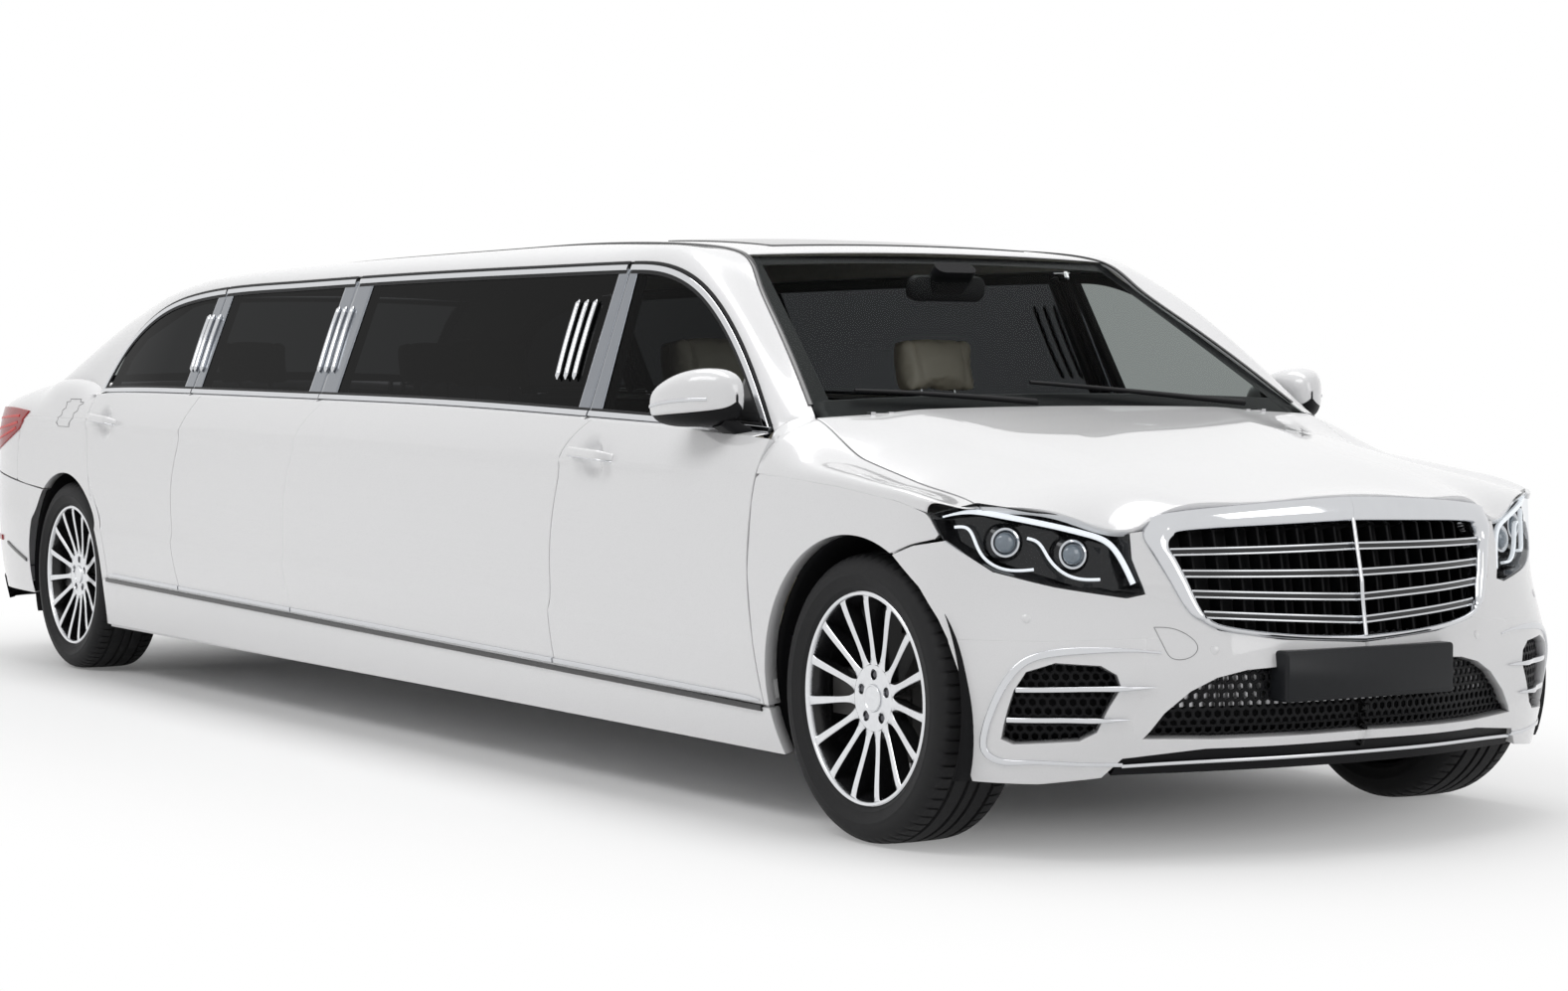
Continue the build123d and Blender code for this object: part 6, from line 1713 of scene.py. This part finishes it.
# Cabin fittings: a moulded driving mirror on a stalk inside the windscreen.
# Two black wipers lie at the foot of the glass outside.
mirror_at = (F - 0.960, 0.0, 1.345)
slab(
    "driving_mirror", oblong(0.25, 0.070, 0.028, 6), mirror_at, (0, 1, 0), unit(np.array([0.20, 0, 0.98])),
    0.026, 0.006, BLACK_MATT, "body", "black_plastic",
)
stalk = through([(F - 0.985, 0, 1.345), (F - 0.945, 0, 1.385), (F - 0.930, 0, 1.405)], np.linspace(0, 1, 10))
bars(
    "driving_mirror_stalk", [(stalk, np.array([0, 1.0, 0]), 1.0)], oblong(0.050, 0.130, 0.022), BLACK_MATT,
    "body", "black_plastic",
)
wiper_runs, wiper_base = [], np.add(SCREEN_BASE, (0, 0, 0.006))
for start_y, end_y, end_up in ((0.58, -0.10, 0.10), (-0.12, -0.66, 0.085)):
    share = np.linspace(0, 1, 24)
    across = (start_y + (end_y - start_y) * share) / 0.79
    arm_line = screen(wiper_base, SCREEN_TOP, SCREEN_OUT, 0.02 + end_up * share, across, -0.012)
    wiper_runs.append((arm_line, np.array(SCREEN_OUT), 1.0 - 0.4 * share))
bars("wipers", wiper_runs, oblong(0.018, 0.012, 0.004), BLACK_MATT, "body", "black_plastic")

# Inner structure: the solid pieces that show between and under the skins.
# Each takes the finish of its own material.
SHELL = finish("body_shell", (0.74, 0.74, 0.75), 0.40, coat=0.3, grain=4.0, vary=0.02)
IRON = finish(
    "cast_iron", (0.075, 0.073, 0.072), 0.55, metal=0.8, grain=30, vary=0.25, bump=0.4, bump_grain=300,
)
KEPT = {
    "white_paint": SHELL, "black_plastic": BLACK_MATT, "chrome": CHROME, "privacy_glass": PRIVACY,
    "screen_glass": GLASS_CLEAR, "lamp_clear": LAMP_CLEAR, "lamp_red": RED_LENS, "tyre": TYRE,
    "alloy": MACHINED, "steel": STEEL, "iron": IRON, "leather": LEATHER, "dark_trim": TRIM,
}
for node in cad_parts.values():
    for place in node.material_slots:
        place.material = KEPT[place.material.name.split(".")[0]]

# Floor and light: a pale studio floor that runs out to white, a broad soft key, a fill and a top light.
# To the camera the far floor and the surround are plain white; the light on the car comes from the lamps.


def plain_rays(nodes, links):
    """1 for rays from the camera, off a gloss or through glass, which see plain white, and 0 for the rest."""
    path = nodes.new("ShaderNodeLightPath")
    seen = path.outputs["Is Camera Ray"]
    for kind in ("Is Glossy Ray", "Is Transmission Ray"):
        either = nodes.new("ShaderNodeMath")
        either.operation = "MAXIMUM"
        links.new(seen, either.inputs[0])
        links.new(path.outputs[kind], either.inputs[1])
        seen = either.outputs["Value"]
    return seen


floor_material = bpy.data.materials.new("studio_floor")
floor_material.use_nodes = True
floor_nodes, floor_links = floor_material.node_tree.nodes, floor_material.node_tree.links
ground = floor_nodes["Principled BSDF"]
ground.inputs["Base Color"].default_value = (0.90, 0.90, 0.90, 1)
ground.inputs["Roughness"].default_value = 0.7
white = floor_nodes.new("ShaderNodeEmission")
place = floor_nodes.new("ShaderNodeTexCoord")
squeeze = floor_nodes.new("ShaderNodeVectorMath")
squeeze.operation = "MULTIPLY"
squeeze.inputs[1].default_value = (0.34, 0.62, 0)
reach = floor_nodes.new("ShaderNodeVectorMath")
reach.operation = "LENGTH"
fade = floor_nodes.new("ShaderNodeMapRange")
fade.interpolation_type = "SMOOTHSTEP"
fade.inputs["From Min"].default_value = 0.75
fade.inputs["From Max"].default_value = 1.75
only_seen = floor_nodes.new("ShaderNodeMath")
only_seen.operation = "MULTIPLY"
mixed = floor_nodes.new("ShaderNodeMixShader")
floor_links.new(place.outputs["Object"], squeeze.inputs[0])
floor_links.new(squeeze.outputs["Vector"], reach.inputs[0])
floor_links.new(reach.outputs["Value"], fade.inputs["Value"])
floor_links.new(fade.outputs["Result"], only_seen.inputs[0])
floor_links.new(plain_rays(floor_nodes, floor_links), only_seen.inputs[1])
floor_links.new(only_seen.outputs["Value"], mixed.inputs["Fac"])
floor_links.new(ground.outputs["BSDF"], mixed.inputs[1])
floor_links.new(white.outputs["Emission"], mixed.inputs[2])
floor_links.new(mixed.outputs["Shader"], floor_nodes["Material Output"].inputs["Surface"])
half = 40.0
floor_mesh = bpy.data.meshes.new("studio_floor")
floor_mesh.from_pydata(
    [(-half, -half, 0), (half, -half, 0), (half, half, 0), (-half, half, 0)], [], [(0, 1, 2, 3)],
)
floor_mesh.materials.append(floor_material)
studio_floor = bpy.data.objects.new("studio_floor", floor_mesh)
scene.collection.objects.link(studio_floor)
world = bpy.data.worlds.new("studio")
scene.world = world
world.use_nodes = True
world_nodes, world_links = world.node_tree.nodes, world.node_tree.links
sky = world_nodes["Background"]
sky.inputs["Color"].default_value = (1, 1, 1, 1)
level = world_nodes.new("ShaderNodeMapRange")
level.inputs["To Min"].default_value = 0.33
level.inputs["To Max"].default_value = 1.0
world_links.new(plain_rays(world_nodes, world_links), level.inputs["Value"])
world_links.new(level.outputs["Result"], sky.inputs["Strength"])


def soft_light(name, at, aim, size, power):
    """Area lamp that faces a point."""
    data = bpy.data.lights.new(name, "AREA")
    data.shape = "RECTANGLE"
    data.size, data.size_y = size
    data.energy = power
    lamp = bpy.data.objects.new(name, data)
    scene.collection.objects.link(lamp)
    away = unit(np.array(at, float) - np.array(aim, float))
    side = unit(np.cross((0, 0, 1), away))
    lamp.matrix_world = standing(at, side, np.cross(away, side), away)


soft_light("key", (2.5, -7.0, 8.0), (0, 0, 0.6), (9, 3), 330)
soft_light("nose_fill", (11.0, 3.0, 4.0), (2.5, 0, 0.6), (5, 4), 130)
soft_light("overhead", (0.0, 0.5, 8.0), (0, 0, 0.6), (9, 3), 330)
